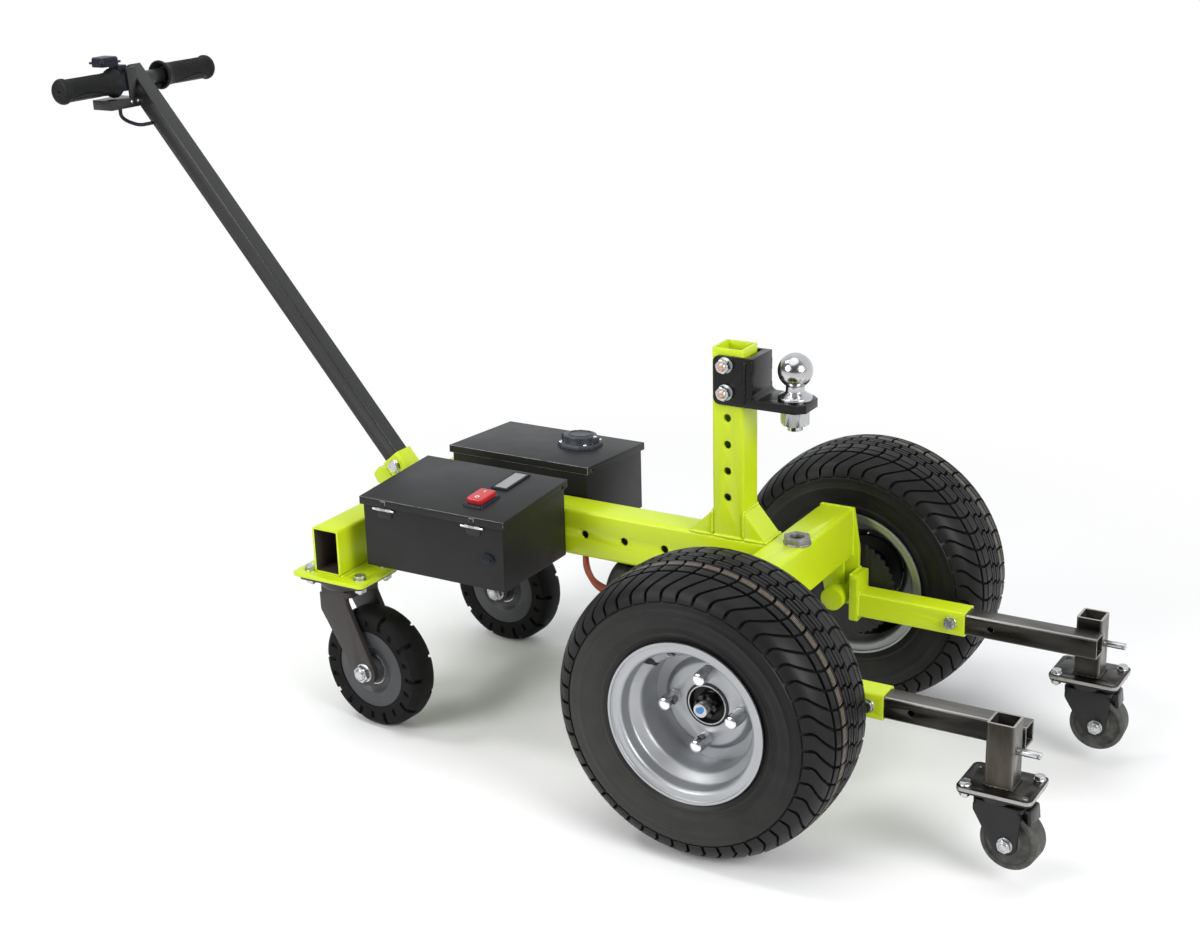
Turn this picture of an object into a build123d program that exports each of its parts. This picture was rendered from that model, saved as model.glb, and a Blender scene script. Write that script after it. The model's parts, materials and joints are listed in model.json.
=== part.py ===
from build123d import *
import math
import os

# Electric trailer dolly: two driven wheels on a welded tube frame, swivel casters behind
# and in front, two steel boxes beside the main beam, a T handle and a post with a tow ball.
# Millimetres. +X runs from the handle to the front casters, +Z is up, the ground is z = 0.
# Places along X are given from the wheel axle and moved together at the end.
os.makedirs("parts", exist_ok=True)

# Main wheels
tyre_od = 418.0
tyre_w = 165.0
track = 546.0
bead_d = 203.2
rim_flange_d = 231.0
rim_w = 140.0
rim_t = 3.2
rim_lip_l = 5.0
rim_lip_bend = 3.0
rim_seat_bend = 5.0
rim_well_bend = 8.0
well_d = 172.0
disc_face = 8.0
disc_t = 4.0
disc_step = 8.0
disc_bend = 5.0
wheel_bore_d = 64.0
lug_pcd = 100.0
lug_count = 4
lug_nut_af = 19.0
lug_nut_len = 33.0
lug_phase = -3.0
tyre_seat_gap = 0.2
bead_bevel = 7.0
tread_ring_places = (15.0, 47.0)
tread_ring_w = 2.6
tread_depth = 4.0
tread_count = 24
tread_groove_w = 2.6
tread_foot = 34.5
foot_ring_w = 1.8
foot_ring_depth = 1.6

# Hub, stub axle and drive sprocket
hub_d = 72.0
hub_flange_t = 10.0
hub_end_gap = 6.0
axle_d = 30.0
axle_run_gap = 0.05
axle_tip = 30.0
axle_thread_d = 20.0
castle_nut_af = 30.0
castle_nut_len = 18.0
sprocket_d = 158.0
sprocket_t = 5.0
sprocket_teeth = 40
tooth_gap_d = 8.0

# Main beam and crossbeam
beam_w = 55.0
beam_h = 75.0
beam_wall = 4.0
frame_top = 345.0
tube_corner = 6.0
beam_hole_d = 13.0
beam_hole_first = -342.0
beam_hole_pitch = 69.0
beam_hole_count = 4
cross_w = 55.0
cross_h = 80.0
cross_wall = 5.0
cross_x = -11.5
cross_end = 165.0
end_plate_t = 8.0
end_plate_lead = 10.0
end_plate_drop = 63.0
boss_d = 36.0
boss_len = 40.0
hanger_t = 8.0
hanger_inset = 8.0
top_nut_af = 36.0
top_nut_bore_d = 21.0
top_nut_h = 10.0

# Rear cross tube and caster plates
rear_x = -689.0
rear_w = 50.0
rear_h = 75.0
rear_wall = 4.0
rear_end = 221.0
rear_bottom = 248.0
rear_plate_l = 135.0
rear_plate_w = 112.0
rear_plate_t = 6.0
plate_corner = 9.0

# Rear casters
rear_caster_x = -680.0
rear_caster_y = 182.0
rear_bolt_dx = 94.0
rear_bolt_dy = 64.0
rear_bolt_d = 10.0
rear_trail = 54.0
rear_wheel_d = 192.0
rear_wheel_w = 50.0
rear_hub_d = 126.0
rear_top_l = 120.0
rear_top_w = 100.0
rear_top_t = 6.0
rear_race_d = 86.0
rear_race_top_d = 91.0
rear_race_h = 12.0
rear_race_gap = 1.0
rear_crown_h = 10.0
rear_leg_t = 8.0
rear_leg_gap = 4.0
rear_leg_tip_r = 21.0
rear_leg_bend = 16.0
rear_axle_d = 16.0
rear_nut_af = 24.0
rear_nut_h = 14.0
rear_notch_count = 10
rear_notch_w = 7.0
rear_notch_axial = 15.0
rear_notch_depth = 9.0
rear_notch_side = 5.0
rear_notch_reach = 24.0
rear_slot_len = 11.0
rear_slot_depth = 4.0
rear_yaw_right = -5.0
rear_yaw_left = -2.0

# Battery boxes and lids
lid_rear = -628.0
lid_front = -369.0
lid_outer = 208.0
lid_inner = 29.5
lid_outer_z = 382.0
lid_inner_z = 393.0
lid_lip = 12.0
lid_t = 1.5
lid_gap = 2.5
box_floor = 271.0
box_wall = 2.0
box_rail_low = 290.0
box_rail_high = 330.0
box_rail_inset = 25.0
hinge_len = 26.0
hinge_r = 2.5
hinge_pin_d = 2.4
hinge_leaf_t = 1.5
hinge_leaf_h = 14.0
hinge_rear_x = -584.0
hinge_front_x = -424.0
hinge_drop = 1.2
knob_x = -400.0
knob_z = 320.0
knob_d = 24.0
knob_w = 16.0
knob_t = 4.0
knob_grip_w = 4.5
knob_h = 8.0
lid_hole_d = 5.0
lid_hole_in = 16.0
hinge_leaf_corner = 6.0

# Lid fittings
switch_x = -443.0
switch_y = 152.0
switch_l = 36.0
switch_w = 54.0
switch_corner = 5.0
bezel_h = 4.0
bezel_rim = 4.0
rocker_h = 8.0
rocker_round = 2.5
meter_x = -444.0
meter_y = 71.0
meter_l = 30.0
meter_w = 68.0
meter_h = 3.0
meter_rim = 4.0
meter_sink = 1.2
inlet_x = -450.0
inlet_y = 142.0
inlet_flange = 66.0
inlet_d = 54.0
inlet_cut = 17.0
inlet_flange_h = 6.0
inlet_cap_h = 12.0
inlet_round = 3.0
inlet_ring_d = 40.0
inlet_ring_w = 2.5
inlet_ear_w = 16.0

# Handle
handle_angle = 50.0
handle_s = 30.0
handle_wall = 2.5
handle_foot_rise = 22.0
handle_len = 812.0
collar_wall = 4.0
collar_len = 56.0
collar_below_foot = 20.0
collar_bolt_up = 21.0
collar_gap = 0.3
collar_bolt_d = 10.0
bar_d = 22.2
bar_half = 168.0
bar_below_top = 20.0
grip_r = 18.0
grip_cap_r = 20.5
grip_flange_r = 24.0
grip_len = 120.0
grip_flange_t = 9.0
grip_cap_round = 7.0
grip_hole_d = 4.0
grip_cup_depth = 13.0
grip_cup_wall = 3.0
grip_bore_gap = 0.2
thumb_back = 30.0
thumb_l = 34.0
thumb_w = 44.0
thumb_y = -54.0
thumb_rise = 26.3
thumb_base_h = 8.0
thumb_pad_h = 7.0
thumb_corner = 6.0
thumb_plate_t = 3.0
clamp_w = 20.0
clamp_y = -34.0
control_l = 40.0
control_far = -79.0
control_drop = 41.0
control_h = 15.5
shield_rise = 23.0
shield_t = 3.0
lead_d = 6.0

# Post, ball bracket and ball
post_x = -99.5
post_s = 50.0
post_wall = 4.0
post_top = 628.0
post_hole_d = 12.0
post_hole_first = 406.0
post_hole_pitch = 40.0
post_hole_count = 6
gusset_front_h = 41.0
gusset_rear_h = 37.0
gusset_rear_l = 38.0
bracket_t = 6.0
bracket_corner = 10.0
bracket_bend = 9.0
bracket_gap = 0.3
bracket_bottom = 547.0
bracket_top = 619.0
bracket_rear = -119.0
bracket_front = -56.0
bracket_plate_t = 12.0
tongue_t = 13.0
tongue_front = 21.0
ball_d = 50.0
ball_x = -5.0
ball_z = 602.0
ball_neck_d = 27.0
ball_flat_d = 18.0
ball_collar_d = 49.0
ball_collar_h = 5.0
ball_cone_h = 7.0
ball_shank_d = 22.0
ball_shank_end = 515.0
ball_nut_af = 36.0
ball_nut_h = 24.0

# Front arms and casters
arm_y = 154.5
arm_z = 203.0
sleeve_s = 38.0
sleeve_wall = 2.6
sleeve_front = 208.0
flange_t = 12.0
flange_top = 250.0
flange_bottom = 176.0
inner_s = 32.0
inner_wall = 3.0
inner_front = 404.0
inner_rear = 96.0
arm_bolt_x = 186.0
arm_bolt_d = 10.0
arm_hole_x = 246.5
post_socket_s = 38.0
post_socket_wall = 3.5
post_socket_x = 382.5
post_socket_top = 235.0
front_plate_z = 145.0
front_plate_l = 102.0
front_plate_w = 80.0
front_plate_t = 5.0
front_bolt_dx = 81.0
front_bolt_dy = 57.0
front_bolt_d = 9.0
pin_d = 10.0
pin_z = 194.0
pin_reach = 31.0
pin_tip_hole_d = 3.0
pin_tip_in = 4.0
front_top_t = 3.0
front_race_d = 58.0
front_race_h = 11.5
front_race_gap = 0.8
front_crown_h = 6.0
front_trail = 18.0
front_wheel_d = 80.0
front_wheel_w = 38.0
front_drop = 70.0
front_leg_t = 4.0
front_leg_gap = 2.5
front_leg_tip_r = 14.0
front_shoulder = 9.0
brake_t = 5.0
brake_w = 30.0
brake_l = 20.0
front_axle_d = 10.0
front_nut_af = 17.0
front_nut_h = 9.0
front_yaw_right = -5.0
front_yaw_left = 3.0

# Drive unit under the main beam
motor_d = 96.0
motor_len = 150.0
motor_rear = -300.0
motor_drop = 6.0
motor_bell_l = 26.0
motor_bell_d = 102.0
motor_bell_round = 10.0
gear_l = 70.0
gear_w = 130.0
gear_h = 100.0
gear_corner = 14.0
gear_boss_d = 52.0
gear_boss_l = 9.0
cable_d = 9.5

# Overall span along X, for placing the origin midway
handle_foot_x = rear_x
handle_foot_z = rear_bottom + rear_h + handle_foot_rise
bar_x = handle_foot_x - (handle_len - bar_below_top) * math.cos(math.radians(handle_angle))
bar_z = handle_foot_z + (handle_len - bar_below_top) * math.sin(math.radians(handle_angle))
x_back = bar_x - thumb_back
front_turn = math.radians(abs(front_yaw_right))
front_reach = (front_trail + front_wheel_d / 2) * math.cos(front_turn)
x_front = post_socket_x + front_reach + (front_wheel_w / 2 - 4) * math.sin(front_turn)
x_mid = (x_back + x_front) / 2

axle_z = tyre_od / 2
nodes = {}


def section(a, b, wall, corner):
    """Rounded hollow rectangle, a along the first direction and b along the second."""
    outer = RectangleRounded(a, b, corner)
    inner = RectangleRounded(a - 2 * wall, b - 2 * wall, max(corner - wall, 0.8))
    return outer - inner


def along_x(sketch, x0, x1, y, z):
    plane = Plane(origin=(x0, y, z), x_dir=(0, 1, 0), z_dir=(1, 0, 0))
    return extrude(plane * sketch, x1 - x0)


def along_y(sketch, y0, y1, x, z):
    plane = Plane(origin=(x, y0, z), x_dir=(1, 0, 0), z_dir=(0, 1, 0))
    return extrude(plane * sketch, y1 - y0)


def along_z(sketch, z0, z1, x, y):
    return extrude(Pos(x, y, z0) * sketch, z1 - z0)


def profile_xz(points, y0, y1):
    """Plate with an outline of (x, z) points, from y0 to y1."""
    wire = Polyline([(x, 0, z) for x, z in points], close=True)
    return extrude(Pos(0, y0, 0) * make_face(wire), y1 - y0, dir=(0, 1, 0))


def profile_yz(points, x0, x1):
    """Bar with an outline of (y, z) points, from x0 to x1."""
    wire = Polyline([(0, y, z) for y, z in points], close=True)
    return extrude(Pos(x0, 0, 0) * make_face(wire), x1 - x0, dir=(1, 0, 0))


def turned(points):
    """Solid of revolution about Z from closed (r, z) points."""
    wire = Polyline([(r, 0, z) for r, z in points], close=True)
    return revolve(make_face(wire), Axis.Z)


def rounded_plate(points, radii, y0, y1):
    """Plate with an outline of (x, z) points whose corners are rounded, from y0 to y1."""
    wire = FilletPolyline(*[(x, 0, z) for x, z in points], radius=radii, close=True)
    return extrude(Pos(0, y0, 0) * make_face(wire), y1 - y0, dir=(0, 1, 0))


def pressed(points, radii, thick):
    """Sheet of even thickness, bent along (r, z) points and turned about Z."""
    path = FilletPolyline(*points, radius=radii)
    return Rot(90, 0, 0) * revolve(trace(path, line_width=thick), Axis.Y)


def rod_x(d, x0, x1, y, z):
    return Pos((x0 + x1) / 2, y, z) * Rot(0, 90, 0) * Cylinder(d / 2, x1 - x0)


def rod_y(d, y0, y1, x, z):
    return Pos(x, (y0 + y1) / 2, z) * Rot(90, 0, 0) * Cylinder(d / 2, y1 - y0)


def rod_z(d, z0, z1, x, y):
    return Pos(x, y, (z0 + z1) / 2) * Cylinder(d / 2, z1 - z0)


def hexagon(af):
    return RegularPolygon(af / math.sqrt(3), 6)


def flip(shape):
    return mirror(shape, about=Plane.XZ)


def group(shapes):
    """Separate solids kept in one node."""
    return Compound([solid for shape in shapes for solid in shape.solids()])


def pair(left):
    """A left piece and its mirror image, in one node."""
    return group([left, flip(left)])


# Rear cross tube, open at both ends, and the main beam that butts against its front face
beam_z = frame_top - beam_h / 2
rear_z = rear_bottom + rear_h / 2
rear_front = rear_x + rear_w / 2
cross_back = cross_x - cross_w / 2
cross_front = cross_x + cross_w / 2
nodes["rear_cross_tube"] = along_y(
    section(rear_w, rear_h, rear_wall, tube_corner), -rear_end, rear_end, rear_x, rear_z
)
beam = along_x(section(beam_w, beam_h, beam_wall, tube_corner), rear_front, cross_back, 0, beam_z)
for i in range(beam_hole_count):
    beam -= rod_y(beam_hole_d, -beam_w, beam_w, beam_hole_first + i * beam_hole_pitch, beam_z)
nodes["main_beam"] = beam

# Crossbeam with a welded nut on top and end plates that carry the stub axles
cross_z = frame_top - cross_h / 2
cross = along_y(section(cross_w, cross_h, cross_wall, tube_corner), -cross_end, cross_end, cross_x, cross_z)
cross -= rod_z(top_nut_bore_d, frame_top - 2 * cross_wall, frame_top + 1, 0, 0)
nodes["crossbeam"] = cross
nodes["crossbeam_nut"] = along_z(
    hexagon(top_nut_af) - Circle(top_nut_bore_d / 2), frame_top, frame_top + top_nut_h, 0, 0
)
plate_front = cross_front + end_plate_lead
plate_outer = cross_end + end_plate_t
end_plate = profile_xz(
    [
        (cross_back, frame_top),
        (cross_front, frame_top),
        (plate_front, frame_top - end_plate_drop),
        (plate_front, axle_z - boss_d / 2),
        (-boss_d / 2, axle_z - boss_d / 2 - 6),
        (-boss_d / 2 - 10, axle_z),
        (cross_back, frame_top - cross_h),
    ],
    cross_end,
    plate_outer,
)
hanger_y = cross_end - hanger_inset - hanger_t
hanger = profile_xz(
    [
        (cross_back + 6, frame_top - cross_h),
        (cross_front - 8, frame_top - cross_h),
        (cross_front - 8, axle_z),
        (-boss_d / 2 - 4, axle_z),
    ],
    hanger_y,
    hanger_y + hanger_t,
)
boss = rod_y(boss_d, cross_end - boss_len, cross_end, 0, axle_z)
nodes["axle_brackets"] = pair(end_plate + hanger + boss)

# Stub axle, with a thread and a castle nut at its tip
wheel_y = track / 2
thread_from = wheel_y + disc_face - disc_t - 6
stub = rod_y(axle_d, plate_outer, thread_from, 0, axle_z)
stub += rod_y(axle_thread_d, thread_from, wheel_y + axle_tip, 0, axle_z)
nodes["stub_axles"] = pair(stub)
nut_plane = Plane(origin=(0, thread_from, axle_z), x_dir=(1, 0, 0), z_dir=(0, 1, 0))
castle = extrude(nut_plane * (hexagon(castle_nut_af) - Circle(axle_thread_d / 2)), castle_nut_len)
for i in range(3):
    slot = Box(castle_nut_af * 1.4, castle_nut_len * 0.7, 5)
    castle -= Pos(0, thread_from + castle_nut_len, axle_z) * Rot(0, 30 + 60 * i, 0) * slot
nodes["castle_nuts"] = pair(castle)

# Tyre and deep rim, turned about the wheel axis with the outer side towards +Z
half_rim = rim_w / 2
bead_r = bead_d / 2
lip_r = rim_flange_d / 2
well_r = well_d / 2
crown_r = tyre_od / 2
half_tyre = tyre_w / 2


# Drop below the crown and distance in from the widest place, from the middle of the crown to the rim
tyre_wall = (
    (0, 74.5),
    (1.6, 50),
    (3.4, 38.5),
    (6, 28),
    (10, 19.5),
    (15, 12),
    (21, 6.5),
    (28, 2.5),
    (tread_foot, 0.7),
    (48, 0),
    (66, 1.5),
    (82, 6.5),
)


def tyre_points():
    """Outer wall, foot and cavity of the tyre's upper half, as (r, z) points."""
    foot = half_rim - tyre_seat_gap
    toe = bead_r + tyre_seat_gap
    points = [(crown_r - drop, half_tyre - inset) for drop, inset in tyre_wall]
    points += [
        (lip_r + 1.5, foot),
        (toe + bead_bevel, foot),
        (toe, foot - bead_bevel),
        (toe, half_rim - 15),
        (toe + 12, half_rim - 12),
        (crown_r - 62, half_tyre - 12),
        (crown_r - 36, half_tyre - 12),
        (crown_r - 20, half_tyre - 24),
        (crown_r - 12, half_tyre - 42),
    ]
    return points


upper = tyre_points()
tyre = turned(upper + [(r, -z) for r, z in reversed(upper)])

# Tread: ring grooves round the crown, a fine step at the foot of each shoulder, and curved
# grooves that run from the outer ring groove down to it. The two sides are alike, turned round.
foot_r = crown_r - tread_foot
inner_ring, outer_ring = tread_ring_places
ring_floors = ((inner_ring, crown_r - 0.4), (outer_ring, crown_r - tread_depth))
shoulder_path = [(half_tyre + 2, 0.2), (half_tyre - 7, -1.0), (half_tyre - 16.5, -5.0), (outer_ring, -9.2)]
cuts = []
for side in (-1, 1):
    for ring_at, ring_top in ring_floors:
        z0, z1 = side * ring_at - tread_ring_w / 2, side * ring_at + tread_ring_w / 2
        floor_r = ring_top - tread_depth
        cuts.append(turned([(floor_r, z0), (crown_r + 1, z0), (crown_r + 1, z1), (floor_r, z1)]))
    z0, z1 = side * (half_tyre - foot_ring_depth), side * (half_tyre + 1)
    cuts.append(turned([(foot_r - foot_ring_w, z0), (foot_r, z0), (foot_r, z1), (foot_r - foot_ring_w, z1)]))
    sunk = [(crown_r - 2 * tread_depth, outer_ring)]
    sunk += [(crown_r - drop - 3, half_tyre - inset - 3) for drop, inset in tyre_wall[4:8]]
    sunk += [(foot_r, half_tyre - tread_depth), (foot_r, half_tyre + 5), (crown_r + 6, half_tyre + 5)]
    sunk += [(crown_r + 6, outer_ring)]
    shoulder = turned([(r, side * z) for r, z in sunk])
    edge = [(side * crown_r * math.radians(turn), side * u) for u, turn in shoulder_path]
    strip = Polyline(
        [(s - tread_groove_w / 2, u) for s, u in edge] + [(s + tread_groove_w / 2, u) for s, u in reversed(edge)],
        close=True,
    )
    blades = []
    for i in range(tread_count):
        turn = math.radians(side * 9.4 + 360 / tread_count * i)
        out = Vector(math.cos(turn), math.sin(turn), 0)
        plane = Plane(origin=out * (foot_r - 6), x_dir=(-out.Y, out.X, 0), z_dir=out)
        blades.append(extrude(plane * make_face(strip), tread_foot + 12))
    cuts += (shoulder & Compound(blades)).solids()
tyre -= cuts

seat_r = bead_r - rim_t / 2
face_z = half_rim + rim_t / 2
well_line = well_r - rim_t / 2
lip_line = lip_r - rim_t / 2
rim = pressed(
    [
        (lip_line, face_z + rim_lip_l),
        (lip_line, face_z),
        (seat_r, face_z),
        (seat_r - 1.5, half_rim - 18),
        (well_line, half_rim - 30),
        (well_line, -half_rim + 46),
        (seat_r - 1.5, -half_rim + 26),
        (seat_r, -face_z),
        (lip_line, -face_z),
        (lip_line, -face_z - rim_lip_l),
    ],
    [rim_lip_bend, rim_seat_bend] + 4 * [rim_well_bend] + [rim_seat_bend, rim_lip_bend],
    rim_t,
)
disc_edge = lug_pcd / 2 + 8
disc_line = disc_face - disc_t / 2
rim += pressed(
    [
        (wheel_bore_d / 2, disc_line),
        (disc_edge, disc_line),
        (disc_edge + disc_step, disc_line - disc_step),
        (well_line, disc_line - disc_step - 2),
    ],
    [disc_bend, disc_bend],
    disc_t,
)
lug_places = [
    (
        lug_pcd / 2 * math.cos(math.radians(lug_phase + 360 / lug_count * i)),
        lug_pcd / 2 * math.sin(math.radians(lug_phase + 360 / lug_count * i)),
    )
    for i in range(lug_count)
]
for lx, ly in lug_places:
    rim -= rod_z(12.5, disc_face - 2 * disc_t, disc_face + 1, lx, ly)
valve = Pos(0, 0, half_rim - 24) * Rot(0, 90, 0) * Pos(0, 0, well_r) * Cylinder(6, 40)
valve += Pos(well_r, 0, half_rim - 31) * Box(40, 6, 14)
rim -= Rot(0, 0, 112) * valve

# Lug nuts with a cone seat and a tapered cap
lug_r = lug_nut_af / math.sqrt(3)
lug_nut = along_z(hexagon(lug_nut_af), disc_face, disc_face + lug_nut_len * 0.62, 0, 0)
cap_from = disc_face + lug_nut_len * 0.62
cap_top = disc_face + lug_nut_len
cap_curves = [
    Line((0, 0, cap_from), (lug_nut_af / 2, 0, cap_from)),
    Line((lug_nut_af / 2, 0, cap_from), (lug_nut_af / 2 - 1, 0, cap_from + lug_nut_len * 0.18)),
    ThreePointArc(
        (lug_nut_af / 2 - 1, 0, cap_from + lug_nut_len * 0.18),
        (lug_nut_af / 2 - 2.6, 0, cap_top - 2.0),
        (lug_nut_af / 2 - 5.5, 0, cap_top),
    ),
    Line((lug_nut_af / 2 - 5.5, 0, cap_top), (0, 0, cap_top)),
    Line((0, 0, cap_top), (0, 0, cap_from)),
]
lug_nut += revolve(make_face(cap_curves), Axis.Z)
lug_nuts = group(Pos(lx, ly, 0) * lug_nut for lx, ly in lug_places)

# Hub behind the disc, with a drive sprocket on its inner end
hub_face = disc_face - disc_t
hub_end = plate_outer + hub_end_gap - wheel_y
nose_r = wheel_bore_d / 2 - 0.3
pocket_r = nose_r - 5
axle_bore_r = axle_d / 2 + axle_run_gap
pocket_z = thread_from - wheel_y
hub = turned(
    [
        (axle_bore_r, hub_end),
        (hub_d / 2, hub_end),
        (hub_d / 2, hub_face - hub_flange_t),
        (lug_pcd / 2 + 5, hub_face - hub_flange_t),
        (lug_pcd / 2 + 5, hub_face),
        (nose_r, hub_face),
        (nose_r, disc_face + 1.5),
        (pocket_r, disc_face + 1.5),
        (pocket_r, pocket_z - 1),
        (axle_bore_r, pocket_z - 1),
    ]
)
sprocket = along_z(Circle(sprocket_d / 2) - Circle(hub_d / 2), hub_end + 4, hub_end + 4 + sprocket_t, 0, 0)
for i in range(sprocket_teeth):
    sprocket -= Rot(0, 0, 360 / sprocket_teeth * i) * rod_z(
        tooth_gap_d, hub_end, hub_end + 20, sprocket_d / 2 + 1, 0
    )
for side, turn in (("left", -90), ("right", 90)):
    sign = 1 if side == "left" else -1
    place = Pos(0, sign * wheel_y, axle_z) * Rot(turn, 0, 0)
    nodes["tyre_" + side] = place * tyre
    nodes["rim_" + side] = place * rim
    nodes["lug_nuts_" + side] = place * lug_nuts
    nodes["hub_" + side] = place * (hub + sprocket)

# Front arms: flange and sleeve welded to the axle bracket, inner tube bolted in the sleeve
sleeve_back = plate_front + flange_t
flange = along_x(
    RectangleRounded(sleeve_s + 8, flange_top - flange_bottom, 6),
    plate_front,
    sleeve_back,
    arm_y,
    (flange_top + flange_bottom) / 2,
)
sleeve = along_x(section(sleeve_s, sleeve_s, sleeve_wall, 4), sleeve_back, sleeve_front, arm_y, arm_z)
sleeve -= rod_y(arm_bolt_d, arm_y - sleeve_s, arm_y + sleeve_s, arm_bolt_x, arm_z)
nodes["arm_sleeves"] = pair(flange + sleeve)
inner = along_x(section(inner_s, inner_s, inner_wall, 3.5), inner_rear, inner_front, arm_y, arm_z)
for hole_x in (arm_bolt_x, arm_hole_x):
    inner -= rod_y(arm_bolt_d, arm_y - inner_s, arm_y + inner_s, hole_x, arm_z)
socket_y = arm_y + inner_s / 2 + post_socket_s / 2
pin_hole = rod_x(pin_d, post_socket_x, post_socket_x + post_socket_s, socket_y, pin_z)
socket = along_z(
    section(post_socket_s, post_socket_s, post_socket_wall, 4),
    front_plate_z,
    post_socket_top,
    post_socket_x,
    socket_y,
)
foot = along_z(
    RectangleRounded(front_plate_l, front_plate_w, plate_corner),
    front_plate_z - front_plate_t,
    front_plate_z,
    post_socket_x,
    socket_y,
)
front_bolts = [
    (post_socket_x + i * front_bolt_dx / 2, socket_y + j * front_bolt_dy / 2)
    for i in (-1, 1)
    for j in (-1, 1)
]
for bx, by in front_bolts:
    foot -= rod_z(front_bolt_d, front_plate_z - 20, front_plate_z + 5, bx, by)
nodes["front_arms"] = pair(inner + (socket - pin_hole) + foot)
pin_from = post_socket_x + post_socket_s / 2 - post_socket_wall
pin_tip = post_socket_x + post_socket_s / 2 + pin_reach
pin = rod_x(pin_d, pin_from, pin_tip, socket_y, pin_z)
pin = chamfer(pin.edges().group_by(Axis.X)[-1], 1)
pin -= rod_y(pin_tip_hole_d, socket_y - pin_d, socket_y + pin_d, pin_tip - pin_tip_in, pin_z)
nodes["socket_pins"] = pair(pin)
arm_bolt = rod_y(arm_bolt_d, arm_y - sleeve_s / 2, arm_y + sleeve_s / 2, arm_bolt_x, arm_z)
for sign in (-1, 1):
    head = Plane(
        origin=(arm_bolt_x, arm_y + sign * sleeve_s / 2, arm_z), x_dir=(1, 0, 0), z_dir=(0, sign, 0)
    )
    arm_bolt += extrude(head * hexagon(16), 7)
bolts = [arm_bolt, flip(arm_bolt)]

# Front casters, built about their swivel axis with the wheel trailing towards +X
front_top = front_plate_z - front_plate_t
race_low = front_top - front_top_t - front_race_h
crown_top = race_low - front_race_gap
leg_y = front_wheel_w / 2 + front_leg_gap
leg_out = leg_y + front_leg_t
top_plate = along_z(
    RectangleRounded(front_plate_l - 2, front_plate_w - 2, plate_corner), front_top - front_top_t, front_top, 0, 0
)
for i in (-1, 1):
    for j in (-1, 1):
        top_plate -= rod_z(front_bolt_d, front_top - 10, front_top + 5, i * front_bolt_dx / 2, j * front_bolt_dy / 2)
top_plate += rod_z(front_race_d, race_low, front_top - front_top_t, 0, 0)
top_plate -= rod_z(16.1, race_low - 1, front_top - front_top_t + 1, 0, 0)
fork = along_z(RectangleRounded(70, 2 * leg_out, 8), crown_top - front_crown_h, crown_top, 4, 0)
fork += rod_z(16, crown_top, front_top - front_top_t - 1, 0, 0)
for sign in (-1, 1):
    low, high = (leg_y, leg_out) if sign > 0 else (-leg_out, -leg_y)
    leg = rounded_plate(
        [
            (-29, crown_top - front_crown_h),
            (37, crown_top - front_crown_h),
            (37, crown_top - front_crown_h - front_shoulder),
            (front_trail + front_leg_tip_r, front_drop - front_leg_tip_r),
            (front_trail - front_leg_tip_r, front_drop - front_leg_tip_r),
            (-29, crown_top - front_crown_h - front_shoulder),
        ],
        [0, 0, front_shoulder, front_leg_tip_r - 2, front_leg_tip_r - 2, front_shoulder],
        low,
        high,
    )
    fork += leg - rod_y(front_axle_d, low - 1, high + 1, front_trail, front_drop)
brake_top = crown_top - front_crown_h / 2
fork += rounded_plate(
    [
        (36, brake_top),
        (36 + brake_l / 2, brake_top),
        (36 + brake_l * 0.62, brake_top - brake_l),
        (36 + brake_l * 0.62 - brake_t, brake_top - brake_l),
        (36 + brake_l / 2 - brake_t, brake_top - brake_t),
        (36, brake_top - brake_t),
    ],
    [0, 3, 0, 0, 1, 0],
    -brake_w / 2,
    brake_w / 2,
)
front_wheel_r = front_wheel_d / 2
tread = turned(
    [
        (front_axle_d / 2 + 0.05, -front_wheel_w / 2),
        (16, -front_wheel_w / 2),
        (18, -front_wheel_w / 2 + 4),
        (front_wheel_r - 9, -front_wheel_w / 2 + 4),
        (front_wheel_r - 7, -front_wheel_w / 2 + 1),
        (front_wheel_r - 3, -front_wheel_w / 2 + 1),
        (front_wheel_r, -front_wheel_w / 2 + 4),
        (front_wheel_r, front_wheel_w / 2 - 4),
        (front_wheel_r - 3, front_wheel_w / 2 - 1),
        (front_wheel_r - 7, front_wheel_w / 2 - 1),
        (front_wheel_r - 9, front_wheel_w / 2 - 4),
        (18, front_wheel_w / 2 - 4),
        (16, front_wheel_w / 2),
        (front_axle_d / 2 + 0.05, front_wheel_w / 2),
    ]
)
front_wheel = Pos(front_trail, 0, front_drop) * Rot(90, 0, 0) * tread
front_axle = rod_y(front_axle_d, -leg_out, leg_out, front_trail, front_drop)
for sign in (-1, 1):
    face = Plane(origin=(front_trail, sign * leg_out, front_drop), x_dir=(1, 0, 0), z_dir=(0, sign, 0))
    front_axle += extrude(face * hexagon(front_nut_af), front_nut_h)
nodes["front_caster_plates"] = pair(Pos(post_socket_x, socket_y, 0) * top_plate)
front_pieces = {
    "front_fork": fork,
    "front_wheel": front_wheel,
    "front_axle": front_axle,
}
for side, sign, yaw in (("left", 1, front_yaw_left), ("right", -1, front_yaw_right)):
    for name, piece in front_pieces.items():
        nodes[name + "_" + side] = Pos(post_socket_x, sign * socket_y, 0) * Rot(0, 0, yaw) * piece
    for bx, by in front_bolts:
        if (bx - post_socket_x) * (by - socket_y) * sign < 0:
            continue
        bolt = rod_z(front_bolt_d, front_top - front_top_t, front_plate_z, bx, sign * by)
        bolt += along_z(hexagon(13), front_plate_z, front_plate_z + 6, bx, sign * by)
        bolt += along_z(hexagon(13), front_top - front_top_t - 7, front_top - front_top_t, bx, sign * by)
        bolts.append(bolt)

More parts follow.
